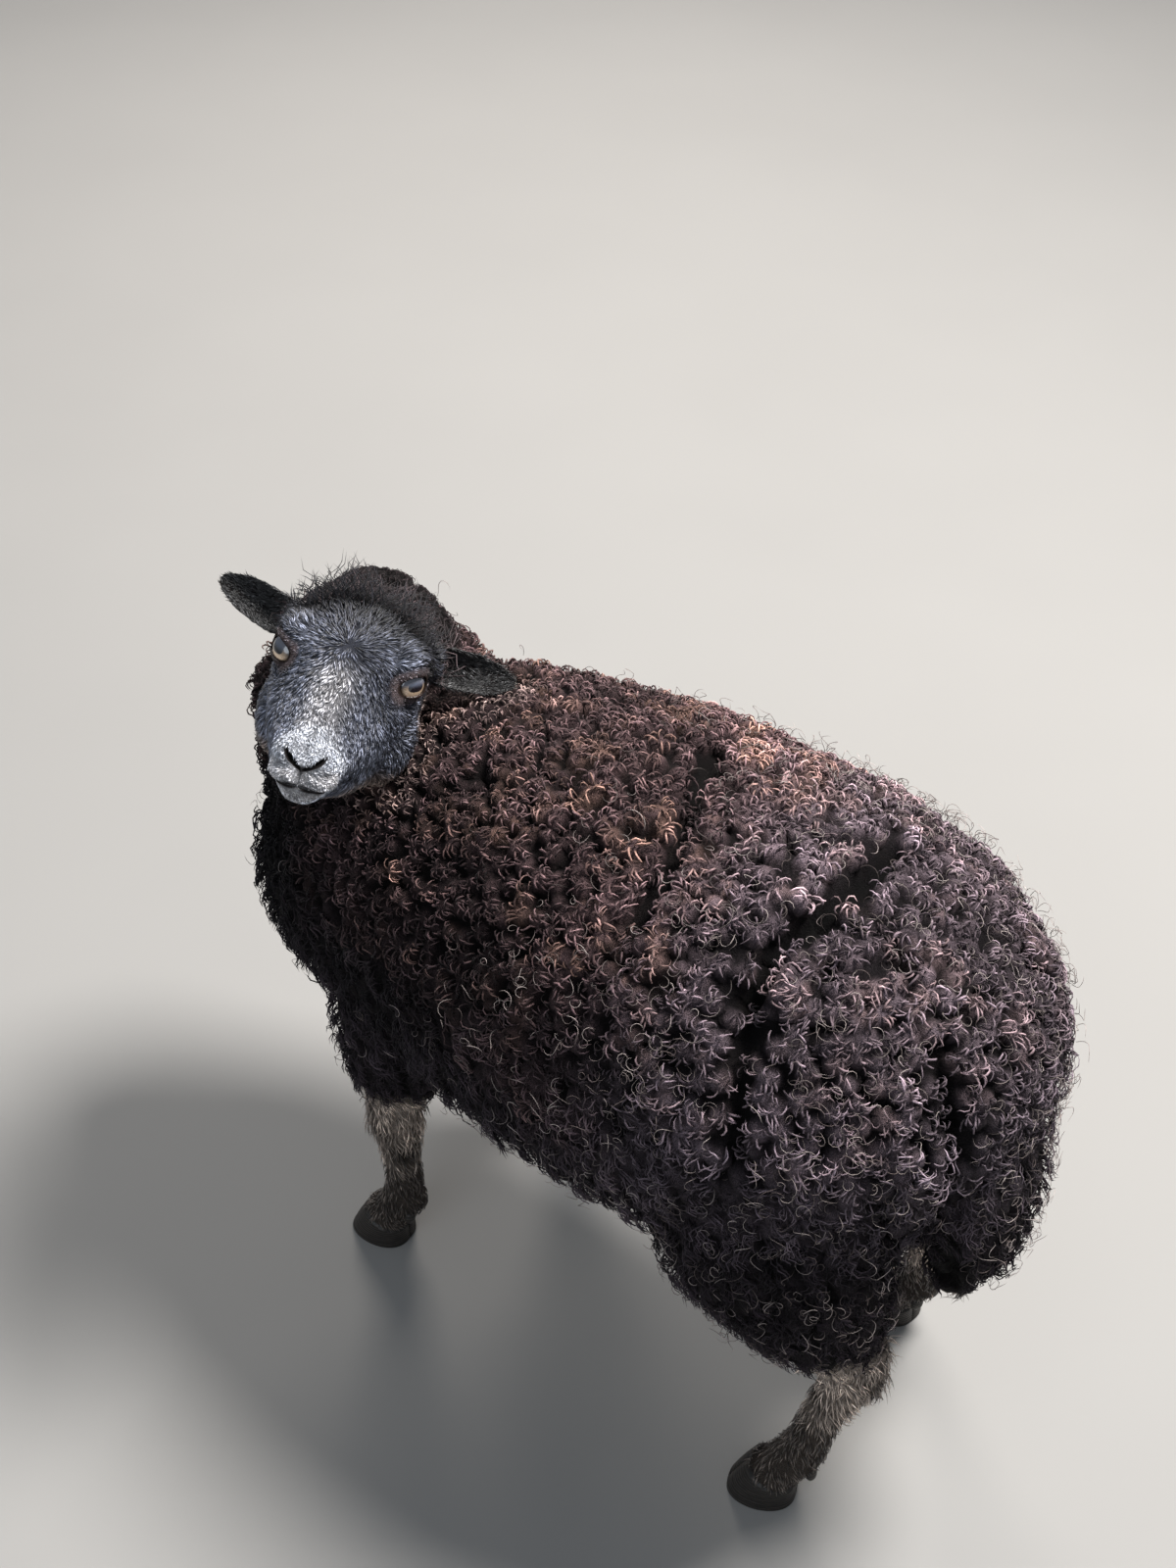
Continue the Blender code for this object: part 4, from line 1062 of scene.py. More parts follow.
class Ground:
    """The skin cut into triangles, each known by the zone that it lies in."""

    def __init__(self, obj, head_tree):
        mesh = obj.data
        mesh.calc_loop_triangles()
        index = np.empty(len(mesh.loop_triangles) * 3, dtype=np.int64)
        mesh.loop_triangles.foreach_get("vertices", index)
        self.index = index.reshape(-1, 3)
        self.points, self.normals = points_of(obj), points_of(obj, "normal")
        corners = self.points[self.index]
        cross = np.cross(corners[:, 1] - corners[:, 0], corners[:, 2] - corners[:, 0])
        self.area = 0.5 * np.linalg.norm(cross, axis=1)
        self.middle = corners.mean(axis=1)
        self.facing = unit(cross)
        self.zone = self.find_zones(head_tree)

    def find_zones(self, head_tree):
        """Name the zone of every triangle: wool, poll, face, ear or leg."""
        on_head = touching_head(self.middle, head_tree)
        side, forward, up = in_head(self.middle).T
        ear = on_head & (np.abs(side) > EAR_STARTS)
        crown = (forward < CROWN_FRONT) & (up > CROWN_LOW) & (np.abs(side) < CROWN_SIDE)
        behind = (forward < NAPE_FRONT) & (up < NAPE_HIGH)
        zone = np.full(len(self.middle), "wool", dtype="U5")
        zone[on_head] = "face"
        zone[on_head & (crown | behind)] = "poll"
        zone[ear] = "ear"
        ragged = WOOL_END_Z + 0.012 * (noise(self.middle, 0.008, 43) - 0.5)
        zone[~on_head & (self.middle[:, 2] < ragged)] = "leg"
        return zone

    def pick(self, zones, count, rng, weight=None):
        """Random places in some zones: points, normals, spread evenly times weight."""
        share = self.area * np.isin(self.zone, zones)
        if weight is not None:
            share = share * weight(self.middle, self.facing)
        face = rng.choice(len(share), count, p=share / share.sum())
        a, b = np.sort(rng.random((2, count)), axis=0)
        parts = np.stack((a, b - a, 1.0 - b), axis=1)[:, :, None]
        corner = self.index[face]
        points = (self.points[corner] * parts).sum(axis=1)
        return points, unit((self.normals[corner] * parts).sum(axis=1))


def thinned(points, gap):
    """Indices of points that keep at least their gap from those taken before."""
    size = float(gap.max())
    cells, kept = {}, []
    around = [(i, j, k) for i in (-1, 0, 1) for j in (-1, 0, 1) for k in (-1, 0, 1)]
    keys = np.floor(points / size).astype(int)
    for n, (x, y, z) in enumerate(keys.tolist()):
        near = [m for i, j, k in around for m in cells.get((x + i, y + j, z + k), ())]
        if near and (np.linalg.norm(points[near] - points[n], axis=1) < gap[n]).any():
            continue
        cells.setdefault((x, y, z), []).append(n)
        kept.append(n)
    return np.array(kept)


class Atlas:
    """An unwrap of the skin's own shape, looked up by place."""

    def __init__(self, obj):
        proxy = linked("atlas", obj.data.copy())
        fewer = proxy.modifiers.new("fewer", "DECIMATE")
        fewer.ratio = ATLAS_FACES / len(obj.data.polygons)
        settle(proxy)
        bpy.context.view_layer.objects.active = proxy
        proxy.select_set(True)
        bpy.ops.object.mode_set(mode="EDIT")
        bpy.ops.mesh.select_all(action="SELECT")
        bpy.ops.uv.smart_project(angle_limit=math.radians(ATLAS_ANGLE), island_margin=ATLAS_MARGIN)
        bpy.ops.object.mode_set(mode="OBJECT")
        mesh = proxy.data
        self.tree = BVHTree.FromPolygons([v.co.copy() for v in mesh.vertices],
                                         [tuple(p.vertices) for p in mesh.polygons])
        self.corners = [[mesh.vertices[i].co.copy() for i in p.vertices] for p in mesh.polygons]
        flat = np.empty(len(mesh.loops) * 2)
        mesh.uv_layers.active.data.foreach_get("uv", flat)
        flat = flat.reshape(-1, 2)
        self.uv = [flat[list(p.loop_indices)] for p in mesh.polygons]
        bpy.data.objects.remove(proxy)

    def places(self, points):
        """Place of each point on the unwrap."""
        out = np.empty((len(points), 2))
        for n, point in enumerate(points):
            at, _, face, _ = self.tree.find_nearest(Vector(point))
            away = np.array([(at - corner).length for corner in self.corners[face]])
            weight = 1.0 / (away + 1e-6)
            out[n] = (self.uv[face] * weight[:, None]).sum(axis=0) / weight.sum()
        return out


# Locks and hairs

def strand_piece(name, paths, sideways, widths, colours, places, look, slot):
    """Closed three sided tapering strands along paths, joined into one piece."""
    count, steps, _ = paths.shape
    ahead = unit(np.gradient(paths, axis=1))
    across = unit(sideways[:, None] - ahead * (ahead * sideways[:, None]).sum(-1, keepdims=True))
    over = np.cross(ahead, across)
    along = np.linspace(0.0, 1.0, steps)
    taper = np.interp(along, TAPER_AT, TAPER)[None, :, None, None] * 0.5
    angles = np.arange(3) * 2.0 * math.pi / 3.0
    ring = (across[:, :, None] * np.cos(angles)[None, None, :, None]
            + over[:, :, None] * np.sin(angles)[None, None, :, None])
    ring = paths[:, :, None] + ring * taper * widths[:, None, None, None]
    per = 3 * (steps - 1) + 1
    verts = np.empty((count, per, 3))
    verts[:, :-1] = ring[:, :-1].reshape(count, -1, 3)
    verts[:, -1] = paths[:, -1]
    quads, tips = [], []
    for k in range(steps - 2):
        for j in range(3):
            a, b = 3 * k + j, 3 * k + (j + 1) % 3
            quads.append((a, b, b + 3, a + 3))
    last = 3 * (steps - 2)
    tips = [(last + j, last + (j + 1) % 3, per - 1) for j in range(3)] + [(2, 1, 0)]
    pattern = np.array([i for face in quads + tips for i in face])
    sizes = np.array([4] * len(quads) + [3] * len(tips))
    loops = (pattern[None] + (np.arange(count) * per)[:, None]).ravel()
    starts = np.concatenate(([0], np.cumsum(np.tile(sizes, count))[:-1]))
    mesh = bpy.data.meshes.new(name)
    mesh.vertices.add(count * per)
    mesh.vertices.foreach_set("co", verts.ravel())
    mesh.loops.add(len(loops))
    mesh.loops.foreach_set("vertex_index", loops)
    mesh.polygons.add(len(starts))
    mesh.polygons.foreach_set("loop_start", starts)
    mesh.update(calc_edges=True)
    level = np.append(np.repeat(along[:-1], 3), 1.0)
    shade = np.append(np.tile((0.0, 0.5, 1.0), steps - 1), 0.5)
    spot = np.stack((shade - 0.5, level - 0.5), axis=1) * PATCH
    uv = (places[:, None] + spot[pattern][None]).ravel()
    mesh.uv_layers.new(name="OFBake").data.foreach_set("uv", uv)
    # Darker at the root: partly the coat's own dark base, partly painted shade deep in the coat
    fade = ramp(level, *ROOT_FADE)[None, :, None]
    paint = colours[:, None] * (ROOT_SHADE + (1.0 - ROOT_SHADE) * fade)
    paint = np.concatenate((paint, np.ones((count, per, 1))), axis=2)
    mesh.color_attributes.new("coat", "FLOAT_COLOR", "POINT").data.foreach_set(
        "color", paint.ravel())
    return finished(linked(name, mesh), look, slot)


def finished(obj, look, slot, *nodes):
    """Give a piece its material and place, and let it stand for nodes. The slot is not used."""
    obj.data.materials.clear()
    obj.data.materials.append(look)
    obj.data.shade_smooth()
    obj.location = obj.location + SHIFT
    bpy.context.view_layer.update()
    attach(obj, "root")
    if nodes:
        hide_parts(*nodes)
    return obj


def walk(roots, headings, lengths, at):
    """Paths from roots, stepping along headings; at gives the share of length at each step."""
    step = np.diff(at)[None, :, None] * lengths[:, None, None]
    moved = np.cumsum(headings[:, :-1] * step, axis=1)
    return np.concatenate((roots[:, None], roots[:, None] + moved), axis=1)


def body_lie(points, normals):
    """The fleece runs back along the top and down the sides."""
    top = np.maximum(normals[:, 2], 0.0)
    down = np.stack((normals[:, 0] * 0.2, np.full(len(points), 0.45), -0.9 + 0.5 * top), axis=1)
    return tangent(down, normals)


def tangent(vectors, normals):
    """Part of the vectors that lies in the surface, at length one."""
    return unit(vectors - normals * (vectors * normals).sum(axis=1, keepdims=True))


def between(at):
    """Shares of the length half way along each step, then the end."""
    return np.append((at[1:] + at[:-1]) * 0.5, 1.0)[None]


def head_lie(points, normals):
    """Hair of the head: away from the whorl on the brow, and out from the nose over the lips."""
    spots = in_head(points)
    away = unit(spots - np.array(WHORL))
    away[:, 1] += ramp(np.abs(spots[:, 0]), 0.020, 0.040) * -0.6
    lips = ramp(spots[:, 1], 0.078, 0.088) * ramp(spots[:, 2], -0.026, -0.034)
    out = unit(spots - np.array(NOSE_TOP))
    away = away + (out - away) * lips[:, None]
    return tangent((away * (1.0, -1.0, 1.0)) @ HEAD_AXES.T, normals)


def creased(points):
    """How near each point is to one of the deep partings, up to 1 in the middle of the widest."""
    near = np.zeros(len(points))
    for share, lines in PARTINGS:
        away = np.min([near_line(points, line) for line in lines], axis=0)
        near = np.maximum(near, share * ramp(away, CREASE_HALF, 0.0))
    return near


def lay_partings(tree):
    """Drop the lines of the deep partings onto the skin, at three depths."""
    for share, rows in CREASES:
        spots = [tree.find_nearest(Vector(row))[:2] for row in spline(rows, 4)]
        deep = CREASE_DEPTH * share
        PARTINGS.append((share, [[at - normal * deep * sunk for at, normal in spots]
                                 for sunk in (0.0, 0.5, 1.0)]))


def swell(points):
    """Height of the broad swells of the fleece, from 0 to 1."""
    return noise(points, SWELL_SIZE, 55)


def small_parting(points):
    """How near each point is to one of the small partings that wander over the fleece."""
    return ramp(np.abs(noise(points, PARTING_SIZE, 53) - 0.5), PARTING_WIDTH, 0.0)


def parted(points):
    """How near each point is to any parting."""
    return np.maximum(creased(points), PARTING_SHARE * small_parting(points))


def tucked(points):
    """How far the wool of the neck lies close, on the far side behind eye and ear."""
    side, forward, up = in_head(points).T
    return ramp(side, -0.015, -0.035) * ramp(up, -0.055, -0.030) * ramp(forward, 0.030, 0.010)


def hanging(points, normals):
    """How far the wool hangs in waves instead of curling up, from 0 to 1."""
    low = ramp(points[:, 2] + 0.03 * noise(points, 0.025, 52), 0.385, 0.300)
    hang = low * ramp(np.abs(normals[:, 2]), 0.95, 0.60)
    rear = ramp(points[:, 1], 0.170, 0.200)
    return np.maximum(hang, rear * ramp(points[:, 2], 0.330, 0.270)) * 0.92


def lock_strands(points, normals, lies, hang, length, scale, rng):
    """Every strand of every lock: paths, sideways direction, its lock and its painted shade.

    On the back a lock is a puff of curls that turn outwards, on the flanks a hanging wave.
    """
    count = len(points)
    lock_turn = rng.uniform(-1.0, 1.0, count) * (2.4 - 2.0 * hang)
    phase = rng.random(count)
    around = rng.uniform(0.0, 2.0 * math.pi, count)
    owner = np.repeat(np.arange(count), STRANDS)
    total = len(owner)
    order = np.tile(np.arange(STRANDS), count)

    drop, size = hang[owner], scale[owner]
    spot_turn = around[owner] + 2.4 * order + rng.normal(0.0, 0.25, total)
    spot_reach = np.sqrt((order + 0.5) / STRANDS) * LOCK_GAP * PUFF_REACH * size
    outwards = spot_turn + rng.choice((-1.0, 1.0), total) * rng.uniform(0.2, 1.3, total)
    combed = lock_turn[owner] + rng.normal(0.0, 0.24, total)
    turn = np.where(rng.random(total) < 0.25 + 0.75 * drop, combed, outwards)
    phase = phase[owner] + rng.normal(0.0, 0.05, total)
    lean = rng.uniform(0.05, 0.65, total)
    curl = rng.uniform(*CURLS, total)
    yaw = rng.choice((-1.0, 1.0), total) * rng.uniform(0.4, 2.2, total)
    normal, lie = normals[owner], lies[owner]
    beside = np.cross(normal, lie)
    forth = towards(lie, beside, turn)
    axis = np.cross(normal, forth)

    at = np.array(STEP_AT)
    mid = between(at)
    late = np.clip((mid - 0.08) / 0.92, 0.0, 1.0)
    roll = lean[:, None] + (curl - lean)[:, None] * late ** 1.1
    beat = 2.0 * math.pi * (1.35 * mid + phase[:, None])
    wave = 0.45 + 0.85 * np.minimum(mid * 2.6, 1.0)
    wave = wave + 0.45 * np.sin(beat) * np.minimum(mid * 2.0, 1.0)
    pitch = roll * (1.0 - drop)[:, None] + wave * drop[:, None]
    sway = yaw[:, None] * late * (1.0 - 0.7 * drop)[:, None]
    sway = sway + np.sin(beat * 1.1 + 1.0) * 1.25 * drop[:, None]
    heading = steered((normal, np.cos(pitch)), (forth, np.sin(pitch) * np.cos(sway)),
                      (axis, np.abs(np.sin(pitch)) * np.sin(sway)))
    offset = towards(lie, beside, spot_turn) * spot_reach[:, None]
    reach = LOCK_GAP * CLUMP_REACH * size
    rise = CLUMP_RISE * size * np.sqrt(np.clip(1.0 - (spot_reach / reach) ** 2, 0.0, 1.0))
    roots = points[owner] + offset + normal * (rise - ROOT_SINK)[:, None]
    lengths = length[owner] * rng.uniform(0.70, 1.20, total)
    # Painted light: strands in the middle of a lock lighter, those at its edge darker
    shade = 1.22 - 0.15 * drop - (0.62 - 0.35 * drop) * (order + 0.5) / STRANDS
    return walk(roots, heading, lengths, at), axis, owner, shade


def clear_of_head(paths, tree, rest):
    """True for the strands that don't reach into the head or an ear."""
    free = np.ones(len(paths), dtype=bool)
    for n in np.flatnonzero(apart(paths[:, 0], HEAD_AT) < CLEAR_REACH):
        for k in rest:
            point = Vector(paths[n, k])
            at, normal, _, away = tree.find_nearest(point, CLEAR_SEARCH)
            if at is not None and ((point - at).dot(normal) < CLEAR_OUT or away < CLEAR_GAP):
                free[n] = False
                break
    return free


def lock_places(ground, rng):
    """Where locks of wool grow, with their normals and sizes."""
    points, normals = ground.pick(["wool"], WOOL_CANDIDATES, rng)
    scale = wool_scale(points)
    under = ramp(normals[:, 2], -0.45, -0.85)
    kept = thinned(points, LOCK_GAP * scale * (1.0 + UNDER_GAP * under))
    kept = kept[creased(points[kept]) < CREASE_BARE]
    return points[kept], normals[kept], scale[kept]


def raise_clumps(obj, head_tree, places):
    """Swell the skin under every lock into a rounded clump, and give its share of the height."""
    centres, outward, scale = places
    lies = body_lie(centres, outward)
    long = 1.0 + (CLUMP_LONG - 1.0) * hanging(centres, outward)
    tree = KDTree(len(centres))
    for n, centre in enumerate(centres):
        tree.insert(centre, n)
    tree.balance()
    points, normals = points_of(obj), points_of(obj, "normal")
    open_share = parted(points)
    lift = np.zeros(len(points))
    for n in np.flatnonzero(~touching_head(points, head_tree)):
        near = [lock for _, lock, _ in tree.find_n(points[n], 4)]
        away = points[n] - centres[near]
        along = (away * lies[near]).sum(axis=1)
        squared = (away ** 2).sum(axis=1) - along ** 2 * (1.0 - 1.0 / long[near] ** 2)
        height = 1.0 - squared / (LOCK_GAP * CLUMP_REACH * scale[near]) ** 2
        lift[n] = max(height.max(), 0.0) * scale[near[0]]
    lift = np.sqrt(lift) * (1.0 - 0.9 * open_share)
    move_points(obj, points + normals * (lift * CLUMP_RISE)[:, None])
    return lift


def grow_fleece(places_of_locks, atlas, head_tree, look, rng):
    """Locks of wool over body, limbs and tail, in pieces by region."""
    points, normals, scale = places_of_locks
    lies = body_lie(points, normals)
    hang, gap = hanging(points, normals), parted(points)
    length = (CURL_LENGTH + (HANG_LENGTH - CURL_LENGTH) * hang) * scale * (1.0 - 0.55 * gap)
    length = length * (0.75 + 0.50 * swell(points))
    paths, axis, owner, edge = lock_strands(points, normals, lies, hang, length, scale, rng)
    free = clear_of_head(paths, head_tree, (1, 3, len(STEP_AT) - 1))
    free &= paths[:, :, 2].min(axis=1) > WOOL_END_Z - 0.018
    paths, axis, owner, edge = paths[free], axis[free], owner[free], edge[free]
    shade = np.minimum(np.exp(rng.normal(0.0, 1.0, len(points)) * (0.38 - 0.16 * hang)), 1.5)
    colours = blend(wool_colour(points), WOOL_TAN, beside_head(points, head_tree))
    # Painted shade: locks darker in the partings; shade is each lock's own random tone
    colours = colours * (shade * (1.0 - 0.80 * gap))[:, None]
    spread = rng.normal(-0.05, 1.0, len(owner)) * (0.30 - 0.08 * hang[owner])
    # edge is the painted light of each lock, lighter in its middle and darker at its edge
    colours = colours[owner] * (edge * np.exp(spread))[:, None]
    spots = atlas.places(points)[owner]
    fine = 1.0 - 0.35 * np.maximum(crown_share(points), tucked(points))[owner]
    widths = WOOL_WIDTH + (HANG_WIDTH - WOOL_WIDTH) * hang[owner]
    widths = widths * fine * (0.4 + 0.6 * scale[owner]) * rng.uniform(0.6, 1.2, len(owner))
    regions = wool_regions(points)[owner]
    for region in np.unique(regions):
        own = regions == region
        strand_piece("fleece_" + region, paths[own], axis[own], widths[own], colours[own],
                     spots[own], look, "wool")


def wool_scale(points):
    """Size of the locks: full on the body, small on limbs, tail and round the head."""
    limb = ramp(points[:, 2], 0.225, 0.185)
    close = ramp(apart(points, HEAD_AT), 0.150, 0.090)
    soft = np.maximum(crown_share(points), tucked(points))
    return 1.0 - np.maximum(0.30 * np.maximum(limb, close), 0.45 * soft)


def beside_head(points, head_tree):
    """How much a lock belongs to the paler edge of the wool under cheek and jaw."""
    share = np.zeros(len(points))
    for n in np.flatnonzero(apart(points, HEAD_AT) < PALE_REACH):
        found = head_tree.find_nearest(Vector(points[n]), PALE_EDGE)
        if found[0] is not None:
            share[n] = 1.0 - found[3] / PALE_EDGE
    return np.sqrt(share) * (1.0 - crown_share(points)) * 0.8


def wool_regions(points):
    """Name of the fleece piece that each lock belongs to."""
    side = np.where(points[:, 0] > 0.0, "left", "right")
    part = np.full(len(points), "flank", dtype="U16")
    part[points[:, 1] < -0.070] = "shoulder"
    part[points[:, 1] > 0.070] = "rump"
    neck = (points[:, 1] + points[:, 2] * -0.9) < -0.560
    part[neck] = "neck"
    part[points[:, 2] < 0.200] = "limbs"
    return np.char.add(np.char.add(part, "_"), side)


def grow_poll(ground, atlas, look, rng):
    """Soft hair and wool of the crown, between and behind the ears."""
    points, normals = ground.pick(["poll"], CROWN_HAIRS, rng)
    kept = thinned(points, np.full(len(points), CROWN_GAP))
    points, normals = points[kept], normals[kept]
    lies = head_lie(points, normals)
    count = len(points)
    turn = 4.0 * (noise(points, 0.006, 63) - 0.5) + rng.normal(0.0, 0.5, count)
    beside = np.cross(normals, lies)
    at = np.array(CROWN_STEP_AT)
    beat = rng.uniform(0.0, 6.28, count)[:, None] + 7.0 * at[None]
    pitch = 0.10 + 0.62 * at[None] + 0.55 * np.sin(beat)
    heading = steered((normals, np.cos(pitch)), (towards(lies, beside, turn), np.sin(pitch)),
                      (beside, 0.8 * np.cos(beat)))
    length = CROWN_LENGTH * (0.65 + 0.7 * noise(points, 0.010, 61))
    length = length * rng.uniform(0.45, 1.20, count)
    length = length * (1.0 - 0.55 * ramp(in_head(points)[:, 2], 0.008, -0.012))
    paths = walk(points - normals * ROOT_SINK, unit(heading), length, at)
    colours = crown_colour(points) * np.exp(rng.normal(0.0, 0.45, (count, 1)))
    strand_piece("crown_wool", paths, beside, CROWN_WIDTH * rng.uniform(0.8, 1.2, count),
                 colours, atlas.places(points), look, "wool")


def crown_colour(points):
    """Colour of the crown: black in front, browner behind."""
    forward = in_head(points)[:, 1]
    back = ramp(forward + 0.012 * (noise(points, 0.008, 62) - 0.5), -0.036, -0.056)
    low = ramp(in_head(points)[:, 2], 0.000, -0.016) * back
    return blend(blend(CROWN_BLACK, CROWN_BROWN, back), WOOL_TAN, low * 0.6)


def crown_share(points):
    """How much the wool behind the crown belongs to the soft dark crown."""
    spots = in_head(points)
    return (ramp(apart(spots, CROWN_MIDDLE), CROWN_REACH[1], CROWN_REACH[0])
            * ramp(spots[:, 2], -0.026, -0.004) * ramp(spots[:, 0], 0.064, 0.044))


def short_hairs(name, points, normals, lies, length, width, lift, colours, atlas, look, slot,
                rng):
    """Short tapering hairs that lie along a surface."""
    count = len(points)
    turn = rng.normal(0.0, 0.22, count) + HAIR_SWIRL * (noise(points, 0.006, 71) - 0.5)
    beside = np.cross(normals, lies)
    forth = towards(lies, beside, turn)
    rise = lift * rng.uniform(0.5, 1.5, count)
    heading = np.stack([towards(forth, normals, rise * share) for share in (1.0, 0.25, 0.25)],
                       axis=1)
    lengths = length * rng.uniform(0.7, 1.3, count)
    paths = walk(points - normals * HAIR_SINK, heading, lengths, HAIR_STEP_AT)
    strand_piece(name, paths, beside, width * rng.uniform(0.7, 1.2, count), colours,
                 atlas.places(points), look, slot)


def grow_face(ground, atlas, look, rng):
    """Short hair over the head, smallest round eyes, nose and lips."""
    points, normals = ground.pick(["face"], FACE_HAIRS, rng, face_weight)
    spots = in_head(points)
    lies = head_lie(points, normals)
    front = ramp(spots[:, 1], 0.030, 0.085)
    lips = ramp(spots[:, 1], 0.080, 0.092)
    brow = ramp(spots[:, 1], 0.010, -0.030) * ramp(spots[:, 2], -0.01, 0.02)
    small = ramp(round_the_eye(spots), 2.8, 1.5)
    length = FACE_LENGTH * (1.0 - 0.42 * front) * (1.0 + 0.40 * brow)
    length = length * (1.0 - 0.75 * small) * (1.0 - 0.35 * lips)
    length = length * (0.45 + 0.55 * ramp(round_the_mouth(spots), 0.002, 0.007))
    contrast = rng.normal(0.0, 1.0, len(points)) * (0.95 - 0.55 * front)
    colours = face_colour(spots) * np.exp(np.minimum(contrast, 1.0) - 0.08)[:, None]
    short_hairs("face_hair", points, normals, lies, length, FACE_WIDTH * (1.0 - 0.30 * lips),
                0.26 + 0.25 * brow, colours, atlas, look, "face", rng)


def face_weight(points, normals):
    """No hair in the nostrils, along the mouth or on the lids' edge."""
    spots = in_head(points)
    front = 1.0 + 1.2 * ramp(spots[:, 1], 0.060, 0.085)
    return (front * ramp(round_the_eye(spots), 1.12, 1.35)
            * ramp(round_the_nostril(spots), 1.05, 1.40)
            * ramp(round_the_mouth(spots), *GROOVE_EDGE))


def grow_ears(ground, atlas, look, rng):
    """Velvet outside the ears and longer pale hair in the cup."""
    points, normals = ground.pick(["ear"], EAR_HAIRS, rng)
    spots = in_head(points)
    inside = np.zeros(len(points), dtype=bool)
    lies = np.empty_like(points)
    for side in SIDES:
        own = np.sign(spots[:, 0]) == side
        place = np.array(ear_matrix(side))[:3, :3]
        lies[own] = HEAD_AXES @ unit(place[:, 0])
        inside[own] = normals[own] @ (HEAD_AXES @ unit(-place[:, 1])) > 0.15
    lies = tangent(lies, normals)
    along = ramp(np.abs(spots[:, 0]), 0.052, 0.100)
    colours = np.where(inside[:, None], EAR_INSIDE, EAR_OUTSIDE)
    colours = blend(colours, EAR_RIM, ramp(along, 0.90, 1.0) * 0.6)
    colours = colours * np.exp(rng.normal(-0.3, 0.90, (len(points), 1)))
    length = np.where(inside, EAR_INSIDE_LENGTH, EAR_OUTSIDE_LENGTH) * (1.0 - 0.5 * along)
    short_hairs("ear_hair", points, normals, lies, length, FACE_WIDTH * 0.75,
                np.where(inside, 0.24, 0.10), colours, atlas, look, "ear", rng)


def grow_legs(ground, atlas, look, rng):
    """Rough short hair down the lower legs to the coronets."""
    points, normals = ground.pick(["leg"], LEG_HAIRS, rng)
    keep = points[:, 2] > LEG_HAIR_END
    points, normals = points[keep], normals[keep]
    lies = tangent(np.tile((0.0, 0.25, -1.0), (len(points), 1)), normals)
    length = LEG_LENGTH * (0.75 + 0.7 * ramp(points[:, 2], 0.050, 0.130))
    colours = leg_colour(points) * np.exp(rng.normal(-0.1, 0.50, (len(points), 1)))
    short_hairs("leg_hair", points, normals, lies, length, FACE_WIDTH * 0.95, 0.34, colours,
                atlas, look, "shank", rng)


def grow_stray(ground, atlas, head_tree, look, rng):
    """Single pale curly fibres over rump, thighs and flank."""
    points, normals = ground.pick(["wool"], STRAY_FIBRES, rng, stray_weight)
    lies = body_lie(points, normals)
    count = len(points)
    at = np.linspace(0.0, 1.0, STRAY_STEPS)
    mid = between(at)
    turn = rng.uniform(0.0, 2.0 * math.pi, count)
    spin = rng.choice((-1.0, 1.0), count) * rng.uniform(*STRAY_SPIN, count)
    beside = np.cross(normals, lies)
    pitch = 0.20 + 1.30 * np.minimum(mid * 2.4, 1.0) + 0.25 * np.sin(6.0 * mid + turn[:, None])
    sway = turn[:, None] + spin[:, None] * mid
    heading = steered((normals, np.cos(pitch)), (lies, np.sin(pitch) * np.cos(sway)),
                      (beside, np.sin(pitch) * np.sin(sway)))
    height = CLUMP_RISE * rng.uniform(0.4, 0.9, count)
    lengths = rng.uniform(*STRAY_LENGTH, count)
    paths = walk(points + normals * height[:, None], heading, lengths, at)
    free = clear_of_head(paths, head_tree, (0, STRAY_STEPS // 2, STRAY_STEPS - 1))
    pale = blend(STRAY_DARK, STRAY_PALE, rng.random(count) ** 1.5)
    strand_piece("stray_fibres", paths[free], normals[free], np.full(free.sum(), STRAY_WIDTH),
                 pale[free], atlas.places(points[free]), look, "wool")


def stray_weight(points, normals):
    """Fibres are thickest on rump and thighs and thin out forwards."""
    back = ramp(points[:, 1], -0.120, 0.110)
    far = ramp(apart(points, HEAD_AT), 0.140, 0.200)
    return (0.12 + back * ramp(points[:, 2], 0.150, 0.220)) * far * (creased(points) < 0.03)


# Materials

def look_of(name, rough, specular, sheen=0.0, coat=0.0):
    """A new material with its shader, plain values set on the shader itself."""
    made = bpy.data.materials.new(name)
    made.use_nodes = True
    shader = made.node_tree.nodes["Principled BSDF"]
    for socket, value in (("Roughness", rough), ("Specular IOR Level", specular),
                          ("Sheen Weight", sheen), ("Sheen Roughness", 0.45),
                          ("Coat Weight", coat), ("Coat Roughness", 0.03), ("Coat IOR", 1.75)):
        shader.inputs[socket].default_value = value
    return made, made.node_tree, shader


def add(tree, kind, values=(), **settings):
    """A node with settings and input values, by socket name."""
    node = tree.nodes.new(kind)
    for key, value in settings.items():
        setattr(node, key, value)
    for key, value in dict(values).items():
        node.inputs[key].default_value = value
    return node


def wire(tree, start, end):
    """Join two sockets, or give the second a plain number or colour."""
    if isinstance(start, bpy.types.NodeSocket):
        tree.links.new(start, end)
    else:
        end.default_value = (*start, 1.0) if isinstance(start, tuple) else start


def own_space(tree):
    """The object's own coordinates."""
    return add(tree, "ShaderNodeTexCoord").outputs["Object"]


def speckle(tree, scale, detail, rough=0.6, distortion=0.0):
    """Noise over the object's own space."""
    made = add(tree, "ShaderNodeTexNoise", {"Scale": scale, "Detail": detail,
                                            "Roughness": rough, "Distortion": distortion})
    wire(tree, own_space(tree), made.inputs["Vector"])
    return made.outputs["Fac"]


